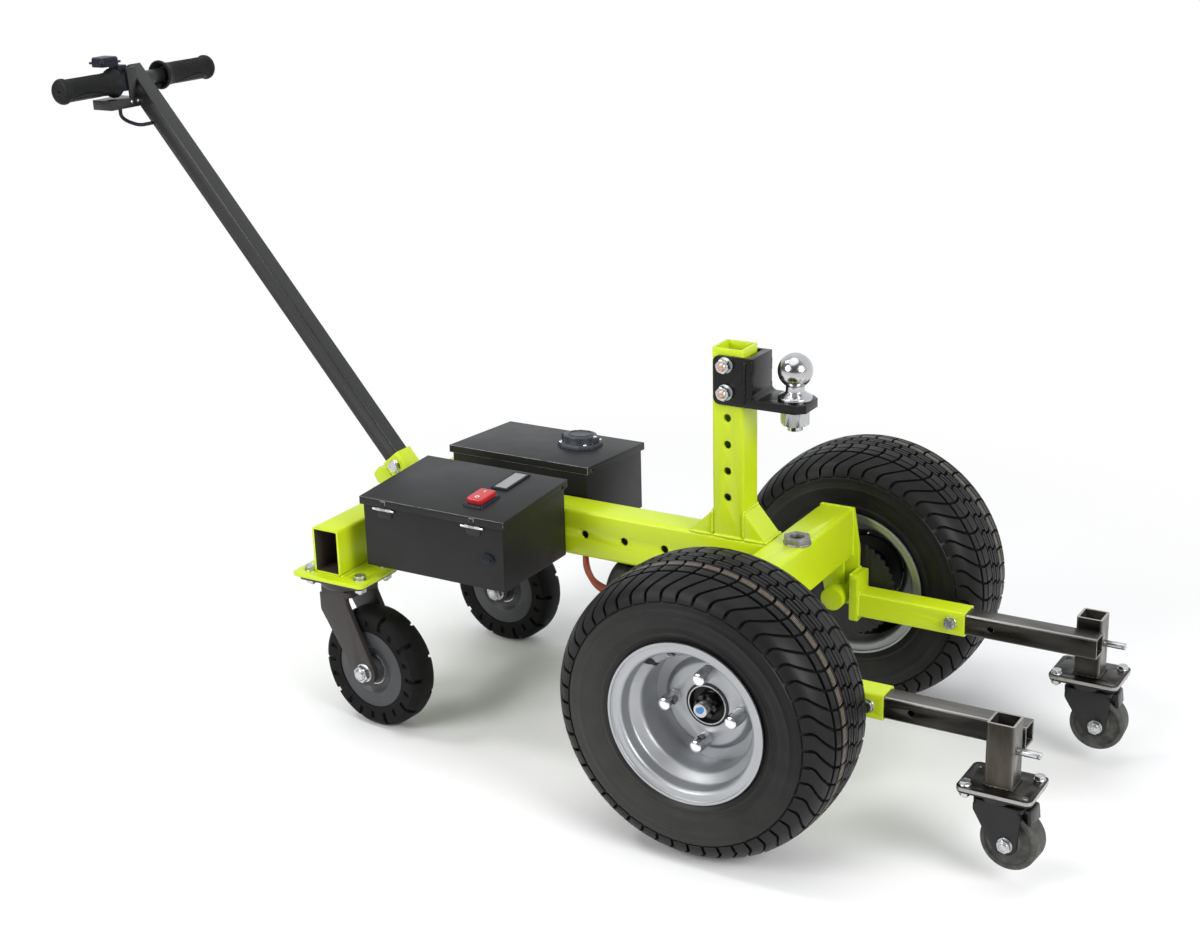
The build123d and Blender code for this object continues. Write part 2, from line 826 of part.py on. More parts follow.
# Rear caster plates, bolted under the ends of the rear cross tube
rear_plate = along_z(
    RectangleRounded(rear_plate_l, rear_plate_w, plate_corner),
    rear_bottom - rear_plate_t,
    rear_bottom,
    rear_caster_x,
    rear_caster_y,
)
rear_bolts = [
    (rear_caster_x + i * rear_bolt_dx / 2, rear_caster_y + j * rear_bolt_dy / 2) for i in (-1, 1) for j in (-1, 1)
]
rear_top = rear_bottom - rear_plate_t
for bx, by in rear_bolts:
    rear_plate -= rod_z(rear_bolt_d, rear_top - 1, rear_bottom + 1, bx, by)
nodes["rear_plates"] = pair(rear_plate)
for bx, by in rear_bolts:
    bolt = rod_z(rear_bolt_d, rear_top - rear_top_t, rear_bottom, bx, by)
    bolt += along_z(hexagon(17), rear_bottom, rear_bottom + 7, bx, by)
    bolt += along_z(hexagon(17), rear_top - rear_top_t - 9, rear_top - rear_top_t, bx, by)
    bolts += [bolt, flip(bolt)]

# Rear casters with notched solid tyres, built about their swivel axis
rear_r = rear_wheel_d / 2
race_low = rear_top - rear_top_t - rear_race_h
crown_top = race_low - rear_race_gap
crown_low = crown_top - rear_crown_h
leg_y = rear_wheel_w / 2 + rear_leg_gap
leg_out = leg_y + rear_leg_t
swivel_plate = along_z(RectangleRounded(rear_top_l, rear_top_w, plate_corner), rear_top - rear_top_t, rear_top, 0, 0)
for i in (-1, 1):
    for j in (-1, 1):
        swivel_plate -= rod_z(rear_bolt_d, rear_top - 20, rear_top + 5, i * rear_bolt_dx / 2, j * rear_bolt_dy / 2)
swivel_plate += turned(
    [
        (0, race_low),
        (rear_race_d / 2, race_low),
        (rear_race_top_d / 2, race_low + rear_race_h * 0.4),
        (rear_race_top_d / 2, rear_top - rear_top_t),
        (0, rear_top - rear_top_t),
    ]
)
swivel_plate -= rod_z(24.1, race_low - 1, rear_top - rear_top_t + 1, 0, 0)
fork = along_z(RectangleRounded(62, 2 * leg_out, 10), crown_low, crown_top, 0, 0)
fork += rod_z(24, crown_top, rear_top - rear_top_t - 1, 0, 0)
for sign in (-1, 1):
    low, high = (leg_y, leg_out) if sign > 0 else (-leg_out, -leg_y)
    leg = rounded_plate(
        [
            (-29, crown_low),
            (25, crown_low),
            (25, crown_low - 8),
            (rear_trail + rear_leg_tip_r - 1, rear_r + 6),
            (rear_trail, rear_r),
            (rear_trail - rear_leg_tip_r + 3, rear_r - 10),
            (-29, crown_low - 28),
        ],
        [0, 0, rear_leg_bend, 0, 0, 0, rear_leg_bend],
        low,
        high,
    )
    leg += rod_y(2 * rear_leg_tip_r, low, high, rear_trail, rear_r)
    fork += leg - rod_y(rear_axle_d, low - 1, high + 1, rear_trail, rear_r)
half_rear = rear_wheel_w / 2
rubber = turned(
    [
        (rear_hub_d / 2, -half_rear + 2),
        (rear_r - 10, -half_rear),
        (rear_r - 3, -half_rear + 6),
        (rear_r, -half_rear + 13),
        (rear_r, half_rear - 13),
        (rear_r - 3, half_rear - 6),
        (rear_r - 10, half_rear),
        (rear_hub_d / 2, half_rear - 2),
    ]
)
step = 360 / rear_notch_count
for sign in (-1, 1):
    phase = 0 if sign > 0 else step / 2
    notch_z = sign * (half_rear - rear_notch_axial / 2 + 1)
    slot_z = sign * (half_rear - rear_slot_depth / 2 + 1)
    for i in range(rear_notch_count):
        notch = Pos(rear_r - rear_notch_depth / 2 + 1, 0, notch_z) * Box(
            rear_notch_depth + 2, rear_notch_w, rear_notch_axial + 2
        )
        slot = Pos(rear_hub_d / 2 + 8 + rear_slot_len / 2, 0, slot_z) * Box(
            rear_slot_len, rear_notch_w, rear_slot_depth + 2
        )
        side_cut = Pos(rear_r - rear_notch_reach / 2 + 1, 0, sign * (half_rear - rear_notch_side / 2 + 1)) * Box(
            rear_notch_reach + 2, rear_notch_w, rear_notch_side + 2
        )
        rubber -= Rot(0, 0, phase + step * i) * (notch + side_cut)
        rubber -= Rot(0, 0, phase + step * (i + 0.5)) * slot
core = turned(
    [
        (rear_axle_d / 2 + 0.05, -half_rear - 2),
        (20, -half_rear - 2),
        (20, -half_rear + 8),
        (34, -half_rear + 8),
        (40, -half_rear + 3),
        (rear_hub_d / 2 - 1, -half_rear + 3),
        (rear_hub_d / 2, -half_rear + 4),
        (rear_hub_d / 2, half_rear - 4),
        (rear_hub_d / 2 - 1, half_rear - 3),
        (40, half_rear - 3),
        (34, half_rear - 8),
        (20, half_rear - 8),
        (20, half_rear + 2),
        (rear_axle_d / 2 + 0.05, half_rear + 2),
    ]
)
wheel_place = Pos(rear_trail, 0, rear_r) * Rot(90, 0, 0)
rear_axle = rod_y(rear_axle_d, -leg_out, leg_out, rear_trail, rear_r)
for sign in (-1, 1):
    face = Plane(origin=(rear_trail, sign * leg_out, rear_r), x_dir=(1, 0, 0), z_dir=(0, sign, 0))
    rear_axle += extrude(face * hexagon(rear_nut_af), rear_nut_h)
nodes["rear_caster_plates"] = pair(Pos(rear_caster_x, rear_caster_y, 0) * swivel_plate)
rear_pieces = {
    "rear_fork": fork,
    "rear_tyre": wheel_place * rubber,
    "rear_core": wheel_place * core,
    "rear_axle": rear_axle,
}
for side, sign, yaw in (("left", 1, rear_yaw_left), ("right", -1, rear_yaw_right)):
    for name, piece in rear_pieces.items():
        nodes[name + "_" + side] = Pos(rear_caster_x, sign * rear_caster_y, 0) * Rot(0, 0, yaw) * piece

# Boxes beside the beam, each stood off it by a packing bar so that its lid can lift.
# The lids slope down outwards and hinge on the outer face.
box_rear = lid_rear + lid_t + lid_gap
box_front = lid_front - lid_t - lid_gap
box_outer = lid_outer - lid_t - lid_gap
box_inner = lid_inner + lid_t + lid_gap
slope = (lid_inner_z - lid_outer_z) / (lid_outer - lid_inner)


def lid_under(y):
    return lid_outer_z + (lid_outer - y) * slope - lid_t


body = profile_yz(
    [
        (box_inner, box_floor),
        (box_outer, box_floor),
        (box_outer, lid_under(box_outer) - 1),
        (box_inner, lid_under(box_inner) - 1),
    ],
    box_rear,
    box_front,
)
body -= profile_yz(
    [
        (box_inner + box_wall, box_floor + box_wall),
        (box_outer - box_wall, box_floor + box_wall),
        (box_outer - box_wall, lid_inner_z + 5),
        (box_inner + box_wall, lid_inner_z + 5),
    ],
    box_rear + box_wall,
    box_front - box_wall,
)
body += profile_yz(
    [
        (beam_w / 2, box_rail_low),
        (box_inner, box_rail_low),
        (box_inner, box_rail_high),
        (beam_w / 2, box_rail_high),
    ],
    box_rear + box_rail_inset,
    box_front - box_rail_inset,
)
nodes["box_bodies"] = pair(body)
lid = profile_yz(
    [
        (lid_inner, lid_inner_z),
        (lid_outer, lid_outer_z),
        (lid_outer, lid_outer_z - lid_lip),
        (lid_inner, lid_inner_z - lid_lip),
    ],
    lid_rear,
    lid_front,
)
lid -= profile_yz(
    [
        (lid_inner + lid_t, lid_under(lid_inner + lid_t)),
        (lid_outer - lid_t, lid_under(lid_outer - lid_t)),
        (lid_outer - lid_t, lid_outer_z - lid_lip - 2),
        (lid_inner + lid_t, lid_inner_z - lid_lip - 14),
    ],
    lid_rear + lid_t,
    lid_front - lid_t,
)
pivot_y = lid_outer
pivot_z = lid_outer_z - lid_lip - hinge_drop - hinge_r
body_leaves = []
lid_leaves = []
for hx in (hinge_rear_x, hinge_front_x):
    third = hinge_len / 3
    fixed = rounded_plate(
        [
            (hx - hinge_len / 2, pivot_z),
            (hx + hinge_len / 2, pivot_z),
            (hx + hinge_len / 2, pivot_z - hinge_leaf_h),
            (hx - hinge_len / 2, pivot_z - hinge_leaf_h),
        ],
        [0, 0, hinge_leaf_corner, hinge_leaf_corner],
        box_outer,
        box_outer + hinge_leaf_t,
    )
    for end in (-1, 1):
        x0 = hx + end * hinge_len / 2 - (third if end > 0 else 0) + (0.2 if end > 0 else 0)
        knuckle = rod_x(2 * hinge_r, x0, x0 + third - 0.2, pivot_y, pivot_z)
        web = Pos(x0 + (third - 0.2) / 2, (box_outer + pivot_y) / 2, pivot_z - hinge_r / 2) * Box(
            third - 0.2, pivot_y - box_outer, hinge_r
        )
        fixed += knuckle + web
    fixed += rod_x(hinge_pin_d, hx - hinge_len / 2, hx + hinge_len / 2, pivot_y, pivot_z)
    body_leaves.append(fixed)
    moving = rod_x(2 * hinge_r, hx - third / 2 + 0.2, hx + third / 2 - 0.2, pivot_y, pivot_z)
    moving += Pos(hx, lid_outer + hinge_leaf_t / 2, pivot_z + (lid_lip + hinge_drop + hinge_r) / 2 - 1) * Box(
        third - 0.4, hinge_leaf_t, lid_lip + hinge_drop + hinge_r - 2
    )
    moving -= rod_x(hinge_pin_d + 0.1, hx - third, hx + third, pivot_y, pivot_z)
    lid_leaves.append(moving)
nodes["box_hinges"] = pair(group(body_leaves))
for leaf in lid_leaves:
    lid += leaf
lid_hole_y = lid_inner + lid_hole_in
lid -= rod_x(lid_hole_d, lid_front - 2 * lid_t, lid_front + 1, lid_hole_y, lid_under(lid_hole_y) - lid_lip / 2)
nodes["box_lid_left"] = lid
nodes["box_lid_right"] = flip(lid)
lens_r = (knob_d * knob_d + knob_w * knob_w) / (4 * knob_w)
lens_off = lens_r - knob_w / 2
lens = (Pos(0, lens_off) * Circle(lens_r)) & (Pos(0, -lens_off) * Circle(lens_r))
knob = along_y(lens, -box_outer - knob_t, -box_outer, knob_x, knob_z)
grip_line = [(-knob_d / 2 + 3, 0), (-knob_d / 4, knob_grip_w / 2), (knob_d / 3, knob_grip_w / 2)]
grip_line += [(x, -z) for x, z in reversed(grip_line[1:])]
ridge = make_face(Polyline(grip_line, close=True))
knob += along_y(ridge, -box_outer - knob_h, -box_outer - knob_t, knob_x, knob_z)
nodes["box_knob"] = knob

# Rocker switch and meter on the right lid, capped inlet on the left lid
lid_tilt = math.degrees(math.atan(slope))


def lid_top(y):
    return lid_outer_z + (lid_outer - y) * slope


def on_lid(sign, x, y):
    return Pos(x, sign * y, lid_top(y)) * Rot(-sign * lid_tilt, 0, 0)


bezel = extrude(RectangleRounded(switch_l, switch_w, switch_corner), bezel_h - 1, taper=25)
bezel += extrude(RectangleRounded(switch_l - bezel_rim, switch_w - bezel_rim, switch_corner - 1), bezel_h)
rocker = Pos(0, 0, bezel_h) * extrude(
    RectangleRounded(switch_l - 2 * bezel_rim, switch_w - 3 * bezel_rim, switch_corner), rocker_h
)
rocker = fillet(rocker.faces().sort_by(Axis.Z)[-1].edges(), rocker_round)
meter = extrude(RectangleRounded(meter_l, meter_w, 2), meter_h, taper=12)
meter -= Pos(0, 0, meter_h - meter_sink) * extrude(
    Rectangle(meter_l - 2 * meter_rim, meter_w - 2 * meter_rim), meter_sink + 1
)
nodes["rocker"] = on_lid(-1, switch_x, switch_y) * rocker
nodes["lid_panels"] = group(
    [on_lid(-1, switch_x, switch_y) * bezel, on_lid(-1, meter_x, meter_y) * meter]
)
flange_edge = chamfer(Rectangle(inlet_flange, inlet_flange).vertices(), inlet_cut)
inlet = extrude(flange_edge, inlet_flange_h, taper=10)
cap = Pos(0, 0, inlet_flange_h) * extrude(Circle(inlet_d / 2), inlet_cap_h)
cap = fillet(cap.edges().group_by(Axis.Z)[-1], inlet_round)
cap_z = inlet_flange_h + inlet_cap_h
cap += extrude(Pos(0, 0, cap_z - 0.5) * (Circle(inlet_ring_d / 2) - Circle(inlet_ring_d / 2 - inlet_ring_w)), 1.7)
for end in (-1, 1):
    ear = Pos(end * inlet_d / 2, 0, inlet_flange_h + inlet_cap_h / 2 - 1) * Box(8, inlet_ear_w, inlet_cap_h - 2)
    cap += fillet(ear.edges().filter_by(Axis.Y), 2)
nodes["charge_inlet"] = on_lid(1, inlet_x, inlet_y) * (inlet + cap)

# Handle: square tube bolted in a sloping collar, with a crossbar at its top
up = Vector(-math.cos(math.radians(handle_angle)), 0, math.sin(math.radians(handle_angle)))
bottom = Vector(handle_foot_x, 0, handle_foot_z)
tube_plane = Plane(origin=bottom, x_dir=(0, 1, 0), z_dir=up)
handle = extrude(tube_plane * section(handle_s, handle_s, handle_wall, 3), handle_len)
handle -= rod_y(bar_d, -handle_s, handle_s, bar_x, bar_z)
collar_foot = bottom - up * collar_below_foot
collar_plane = Plane(origin=collar_foot, x_dir=(0, 1, 0), z_dir=up)
collar_s = handle_s + 2 * collar_gap + 2 * collar_wall
collar = extrude(collar_plane * section(collar_s, collar_s, collar_wall, 5), collar_len)
rear_top_z = rear_bottom + rear_h
rear_back = rear_x - rear_w / 2
lug = profile_xz(
    [
        (rear_back, rear_top_z),
        (rear_back + 9, rear_top_z + 13),
        (rear_back - 7, rear_top_z + 32),
        (rear_back - 22, rear_top_z + 30),
        (rear_back - 32, rear_top_z + 18),
        (rear_back - 25, rear_top_z + 4),
    ],
    -collar_s / 2,
    collar_s / 2,
)
lug -= extrude(collar_plane * RectangleRounded(collar_s, collar_s, 5), 2 * collar_len)
collar += lug
collar -= Pos(rear_x, 0, rear_top_z - 50) * Box(rear_w, 100, 100)
collar -= Pos(rear_front + 50, 0, frame_top - 50) * Box(100, 100, 100)
bolt_at = bottom + up * collar_bolt_up
handle -= rod_y(collar_bolt_d, -handle_s, handle_s, bolt_at.X, bolt_at.Z)
collar -= rod_y(collar_bolt_d, -collar_s, collar_s, bolt_at.X, bolt_at.Z)
nodes["handle_tube"] = handle
nodes["handle_collar"] = collar
collar_bolt = rod_y(collar_bolt_d, -collar_s / 2, collar_s / 2, bolt_at.X, bolt_at.Z)
for sign in (-1, 1):
    face = Plane(origin=(bolt_at.X, sign * collar_s / 2, bolt_at.Z), x_dir=(1, 0, 0), z_dir=(0, sign, 0))
    collar_bolt += extrude(face * hexagon(17), 7)
bolts.append(collar_bolt)
nodes["handlebar"] = rod_y(bar_d, -bar_half, bar_half, bar_x, bar_z)
bar_hole = bar_d / 2 + grip_bore_gap
grip_end = bar_half + 4
grip_in = grip_end - grip_len
flare_from = grip_in + grip_flange_t + 14
cap_in = grip_end - grip_cap_round
cap_mid = grip_cap_r - grip_cap_round * (1 - math.sqrt(0.5))
rim_z = grip_in + 4
cup_r = grip_flange_r - grip_cup_wall
grip_curves = [
    Line((grip_hole_d / 2, 0, grip_end), (grip_cap_r - grip_cap_round, 0, grip_end)),
    ThreePointArc(
        (grip_cap_r - grip_cap_round, 0, grip_end),
        (cap_mid, 0, grip_end - grip_cap_round * (1 - math.sqrt(0.5))),
        (grip_cap_r, 0, cap_in),
    ),
    Line((grip_cap_r, 0, cap_in), (grip_cap_r, 0, cap_in - 2)),
    Line((grip_cap_r, 0, cap_in - 2), (grip_r, 0, cap_in - 5)),
    Line((grip_r, 0, cap_in - 5), (grip_r, 0, flare_from)),
    ThreePointArc(
        (grip_r, 0, flare_from),
        (grip_r + 1.6, 0, grip_in + grip_flange_t + 4),
        (grip_flange_r, 0, rim_z),
    ),
    Line((grip_flange_r, 0, rim_z), (grip_flange_r - 0.8, 0, grip_in)),
    Line((grip_flange_r - 0.8, 0, grip_in), (cup_r, 0, grip_in)),
    Line((cup_r, 0, grip_in), (bar_hole + 2, 0, grip_in + grip_cup_depth)),
    Line((bar_hole + 2, 0, grip_in + grip_cup_depth), (bar_hole, 0, grip_in + grip_cup_depth)),
    Line((bar_hole, 0, grip_in + grip_cup_depth), (bar_hole, 0, bar_half + grip_bore_gap)),
    Line((bar_hole, 0, bar_half + grip_bore_gap), (grip_hole_d / 2, 0, bar_half + grip_bore_gap)),
    Line((grip_hole_d / 2, 0, bar_half + grip_bore_gap), (grip_hole_d / 2, 0, grip_end)),
]
grip = revolve(make_face(grip_curves), Axis.Z)
nodes["grips"] = group([Pos(bar_x, 0, bar_z) * Rot(turn, 0, 0) * grip for turn in (-90, 90)])

# Control box under the right grip, thumb switch clamped on the bar, and the lead between
# the box and the handle tube
tube_side = -handle_s / 2
control_low = bar_z - control_drop
control = Pos(bar_x - 4, (control_far + tube_side) / 2, control_low + control_h / 2) * Box(
    control_l, tube_side - control_far, control_h
)
shield_top = bar_z + shield_rise
shield_from = bar_x + bar_d / 2 + 2
shield = profile_yz(
    [
        (tube_side - 22, shield_top),
        (tube_side, shield_top),
        (tube_side, shield_top - 16),
        (tube_side - 14, control_low),
        (tube_side - 18, control_low),
    ],
    shield_from,
    shield_from + shield_t,
)
nodes["control_box"] = control + shield
clamp_h = bar_d + 6
clamp = Pos(bar_x - 3, clamp_y, bar_z) * Box(clamp_h + 2, clamp_w, clamp_h)
clamp += Pos(bar_x - 6, clamp_y, bar_z + thumb_rise / 2) * Box(20, clamp_w, thumb_rise)
clamp -= rod_y(bar_d, clamp_y - clamp_w, clamp_y + clamp_w, bar_x, bar_z)
thumb_x = bar_x - thumb_back + thumb_l / 2
thumb_low = bar_z + thumb_rise
thumb_body = RectangleRounded(thumb_l - 6, thumb_w - 6, thumb_corner)
thumb = along_z(thumb_body, thumb_low, thumb_low + thumb_base_h + 2, thumb_x, thumb_y)
plate_low = thumb_low + thumb_base_h - thumb_plate_t
thumb += along_z(RectangleRounded(thumb_l, thumb_w, thumb_corner), plate_low, plate_low + thumb_plate_t, thumb_x, thumb_y)
pad_low = thumb_low + thumb_base_h + 2
pad = along_z(
    RectangleRounded(thumb_l - 3, thumb_w - 10, thumb_corner), pad_low, pad_low + thumb_pad_h - 2, thumb_x, thumb_y
)
thumb += chamfer(pad.edges().group_by(Axis.Z)[-1], 2)
nodes["thumb_switch"] = clamp + thumb


def cord(points, d):
    """Round tube along straight runs joined by the largest arcs that their lengths allow."""
    places = [Vector(*p) for p in points]
    radii = []
    for a, b, c in zip(places, places[1:], places[2:]):
        half_turn = math.radians((b - a).get_angle(c - b)) / 2
        radii.append(0.45 * min((b - a).length, (c - b).length) / math.tan(half_turn))
    path = FilletPolyline(*places, radius=radii)
    start = Plane(origin=path @ 0, z_dir=path % 0)
    tube = sweep(start * Circle(d / 2), path=path)
    whole = math.pi * d * d / 4 * path.length
    print("cord radii", [round(r, 1) for r in radii], "volume ratio", round(tube.volume / whole, 4))
    return tube


nodes["handle_lead"] = cord(
    [
        (bar_x - 6, -38, control_low),
        (bar_x - 6, -38, control_low - 16),
        (bar_x + 4, -33, control_low - 24),
        (bar_x + 22, -26, control_low - 30),
        (bar_x + 42, tube_side - lead_d / 2 + 0.3, control_low - 26),
    ],
    lead_d,
)

# Post with a row of holes and two gussets, and the ball bracket bolted to it
post = along_z(section(post_s, post_s, post_wall, 5), frame_top, post_top, post_x, 0)
for i in range(post_hole_count):
    post -= rod_y(post_hole_d, -post_s, post_s, post_x, post_hole_first + i * post_hole_pitch)
post_front = post_x + post_s / 2
post_back = post_x - post_s / 2
nodes["post"] = post
nodes["post_gussets"] = group(
    [
        profile_xz(
            [(post_front, frame_top), (cross_back, frame_top), (post_front, frame_top + gusset_front_h)],
            -post_s / 2,
            post_s / 2,
        ),
        profile_xz(
            [(post_back, frame_top), (post_back - gusset_rear_l, frame_top), (post_back, frame_top + gusset_rear_h)],
            -post_s / 2,
            post_s / 2,
        ),
    ]
)
cheek_in = post_s / 2 + bracket_gap
cheek_out = cheek_in + bracket_t
bracket = Part()
for sign in (-1, 1):
    low, high = (cheek_in, cheek_out) if sign > 0 else (-cheek_out, -cheek_in)
    bracket += rounded_plate(
        [
            (bracket_rear, bracket_bottom),
            (bracket_front, bracket_bottom),
            (bracket_front, bracket_top),
            (bracket_rear, bracket_top),
        ],
        [bracket_corner, 0, 0, bracket_corner],
        low,
        high,
    )
tongue_top = bracket_bottom + tongue_t
hook = rounded_plate(
    [
        (bracket_front - bracket_plate_t, bracket_bottom),
        (tongue_front, bracket_bottom),
        (tongue_front, tongue_top),
        (bracket_front, tongue_top),
        (bracket_front, bracket_top),
        (bracket_front - bracket_plate_t, bracket_top),
    ],
    [0, 0, 0, bracket_bend, 0, 0],
    -cheek_out,
    cheek_out,
)
bracket += chamfer(hook.edges().filter_by(Axis.Z).group_by(Axis.X)[-1], 12)
bracket -= rod_z(ball_shank_d, bracket_bottom - 1, bracket_bottom + tongue_t + 1, ball_x, 0)
bracket_bolt_z = [post_hole_first + (post_hole_count - 1 - i) * post_hole_pitch for i in range(2)]
for bz in bracket_bolt_z:
    bracket -= rod_y(post_hole_d, -2 * cheek_out, 2 * cheek_out, post_x, bz)
nodes["ball_bracket"] = bracket
for bz in bracket_bolt_z:
    bolt = rod_y(post_hole_d, -cheek_out, cheek_out, post_x, bz)
    for sign in (-1, 1):
        face = Plane(origin=(post_x, sign * cheek_out, bz), x_dir=(1, 0, 0), z_dir=(0, sign, 0))
        bolt += extrude(face * hexagon(19), 11)
    bolts.append(bolt)
neck_low = ball_z - math.sqrt((ball_d / 2) ** 2 - (ball_neck_d / 2) ** 2)
flat_z = ball_z + math.sqrt((ball_d / 2) ** 2 - (ball_flat_d / 2) ** 2)
collar_top = tongue_top + ball_collar_h
neck_r = ball_neck_d / 2
ball_curves = [
    Line((0, 0, flat_z), (ball_flat_d / 2, 0, flat_z)),
    ThreePointArc((ball_flat_d / 2, 0, flat_z), (ball_d / 2, 0, ball_z), (neck_r, 0, neck_low)),
    Line((neck_r, 0, neck_low), (neck_r, 0, collar_top + ball_cone_h)),
    Line((neck_r, 0, collar_top + ball_cone_h), (ball_collar_d / 2, 0, collar_top)),
    Line((ball_collar_d / 2, 0, collar_top), (ball_collar_d / 2, 0, tongue_top)),
    Line((ball_collar_d / 2, 0, tongue_top), (ball_shank_d / 2, 0, tongue_top)),
    Line((ball_shank_d / 2, 0, tongue_top), (ball_shank_d / 2, 0, ball_shank_end)),
    Line((ball_shank_d / 2, 0, ball_shank_end), (0, 0, ball_shank_end)),
    Line((0, 0, ball_shank_end), (0, 0, flat_z)),
]
nodes["tow_ball"] = Pos(ball_x, 0, 0) * revolve(make_face(ball_curves), Axis.Z)
ball_nut = along_z(
    hexagon(ball_nut_af) - Circle(ball_shank_d / 2), bracket_bottom - ball_nut_h, bracket_bottom, ball_x, 0
)
bolts.append(ball_nut)
nodes["frame_bolts"] = group(bolts)

# Drive unit hung under the main beam behind the crossbeam
beam_bottom = frame_top - beam_h
motor_z = beam_bottom - motor_drop - motor_d / 2
gear_x = motor_rear + motor_len + gear_l / 2
motor = rod_x(motor_d, motor_rear + motor_bell_l / 2, motor_rear + motor_len, 0, motor_z)
bell = rod_x(motor_bell_d, motor_rear, motor_rear + motor_bell_l, 0, motor_z)
motor += fillet(bell.edges().group_by(Axis.X)[0], motor_bell_round)
gear_end = motor_rear + motor_len
gear = along_x(RectangleRounded(gear_w, gear_h, gear_corner), gear_end, gear_end + gear_l, 0, motor_z)
for end in (-1, 1):
    y0, y1 = sorted((end * (gear_w / 2 - 2), end * (gear_w / 2 + gear_boss_l)))
    gear += rod_y(gear_boss_d, y0, y1, gear_x, motor_z)
nodes["drive_motor"] = motor
nodes["gearbox"] = gear
nodes["motor_hanger"] = Pos(gear_x, 0, (beam_bottom + motor_z + gear_h / 2) / 2) * Box(
    gear_l - 10, beam_w, beam_bottom - motor_z - gear_h / 2
)
motor_end = motor_rear
nodes["motor_cables"] = group(
    [
        cord(
            [
                (motor_end - 50, -14, beam_bottom),
                (motor_end - 50, -14, beam_bottom - 24),
                (motor_end - 38, -14, beam_bottom - 43),
                (motor_end - 17, -14, beam_bottom - 51),
                (motor_end, -14, beam_bottom - 51),
            ],
            cable_d,
        ),
        cord(
            [
                (motor_end - 62, 6, beam_bottom),
                (motor_end - 62, 6, beam_bottom - 30),
                (motor_end - 48, 6, beam_bottom - 58),
                (motor_end - 22, 6, beam_bottom - 70),
                (motor_end, 6, beam_bottom - 70),
            ],
            cable_d,
        ),
    ]
)

for name, shape in nodes.items():
    export_step(Pos(-x_mid, 0, 0) * shape, "parts/" + name + ".step")
print(len(nodes), "nodes, x_mid", round(x_mid, 3), "bar", round(bar_x, 2), round(bar_z, 2))
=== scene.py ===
import json
import math
from functools import partialmethod

import bmesh
import bpy
from mathutils import Matrix, Vector

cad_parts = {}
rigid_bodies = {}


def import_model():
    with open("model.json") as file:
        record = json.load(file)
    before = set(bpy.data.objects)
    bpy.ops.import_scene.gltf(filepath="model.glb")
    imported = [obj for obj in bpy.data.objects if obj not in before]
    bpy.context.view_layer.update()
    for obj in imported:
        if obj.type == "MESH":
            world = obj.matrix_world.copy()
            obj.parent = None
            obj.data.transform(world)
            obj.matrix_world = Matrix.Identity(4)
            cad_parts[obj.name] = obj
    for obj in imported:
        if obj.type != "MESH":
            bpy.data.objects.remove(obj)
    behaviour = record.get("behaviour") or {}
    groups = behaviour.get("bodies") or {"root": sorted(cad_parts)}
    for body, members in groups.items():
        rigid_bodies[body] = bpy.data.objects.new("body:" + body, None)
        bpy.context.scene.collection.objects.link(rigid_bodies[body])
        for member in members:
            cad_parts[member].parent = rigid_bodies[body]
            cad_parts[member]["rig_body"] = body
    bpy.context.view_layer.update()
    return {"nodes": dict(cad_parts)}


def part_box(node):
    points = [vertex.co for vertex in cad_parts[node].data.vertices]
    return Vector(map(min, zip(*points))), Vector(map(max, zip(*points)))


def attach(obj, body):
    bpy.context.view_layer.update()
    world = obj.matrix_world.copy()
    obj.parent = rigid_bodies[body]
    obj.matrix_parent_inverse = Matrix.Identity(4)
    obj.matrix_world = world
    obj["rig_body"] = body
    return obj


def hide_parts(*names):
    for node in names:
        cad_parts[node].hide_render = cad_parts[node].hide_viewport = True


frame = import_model()

# The studio: a white wall behind and a dim room in front, a broad soft lamp overhead and others at
# the sides, and the camera at the photograph's place. None of it is the dolly's.
studio = bpy.context.scene
studio.view_settings.view_transform = "Standard"
sky = bpy.data.worlds.new("studio_sky")
studio.world = sky
sky.use_nodes = True
sky_nodes = sky.node_tree.nodes
sky_light, sky_out = sky_nodes["Background"], sky_nodes["World Output"]
sky_way = sky_nodes.new("ShaderNodeTexCoord")
sky_parts = sky_nodes.new("ShaderNodeSeparateXYZ")
sky_wall = sky_nodes.new("ShaderNodeMapRange")
sky_seen = sky_nodes.new("ShaderNodeBackground")
rays = sky_nodes.new("ShaderNodeLightPath")
seen = sky_nodes.new("ShaderNodeMath")
sky_choice = sky_nodes.new("ShaderNodeMixShader")
sky_wall.interpolation_type = "SMOOTHSTEP"
for key, level in (("From Min", -0.35), ("From Max", 0.45), ("To Min", 0.08), ("To Max", 0.95)):
    sky_wall.inputs[key].default_value = level
sky_seen.inputs["Color"].default_value = (1, 1, 1, 1)
sky_light.inputs["Color"].default_value = (0.96, 0.98, 1, 1)
seen.operation = "MAXIMUM"
for source, output, target, entry in (
    (sky_way, "Generated", sky_parts, 0),
    (sky_parts, "Y", sky_wall, "Value"),
    (sky_wall, "Result", sky_light, "Strength"),
    (rays, "Is Camera Ray", seen, 0),
    (rays, "Is Transmission Ray", seen, 1),
    (seen, 0, sky_choice, 0),
    (sky_light, 0, sky_choice, 1),
    (sky_seen, 0, sky_choice, 2),
    (sky_choice, 0, sky_out, "Surface"),
):
    sky.node_tree.links.new(source.outputs[output], target.inputs[entry])
lamp_aim = Vector((0, 0, 0.35))
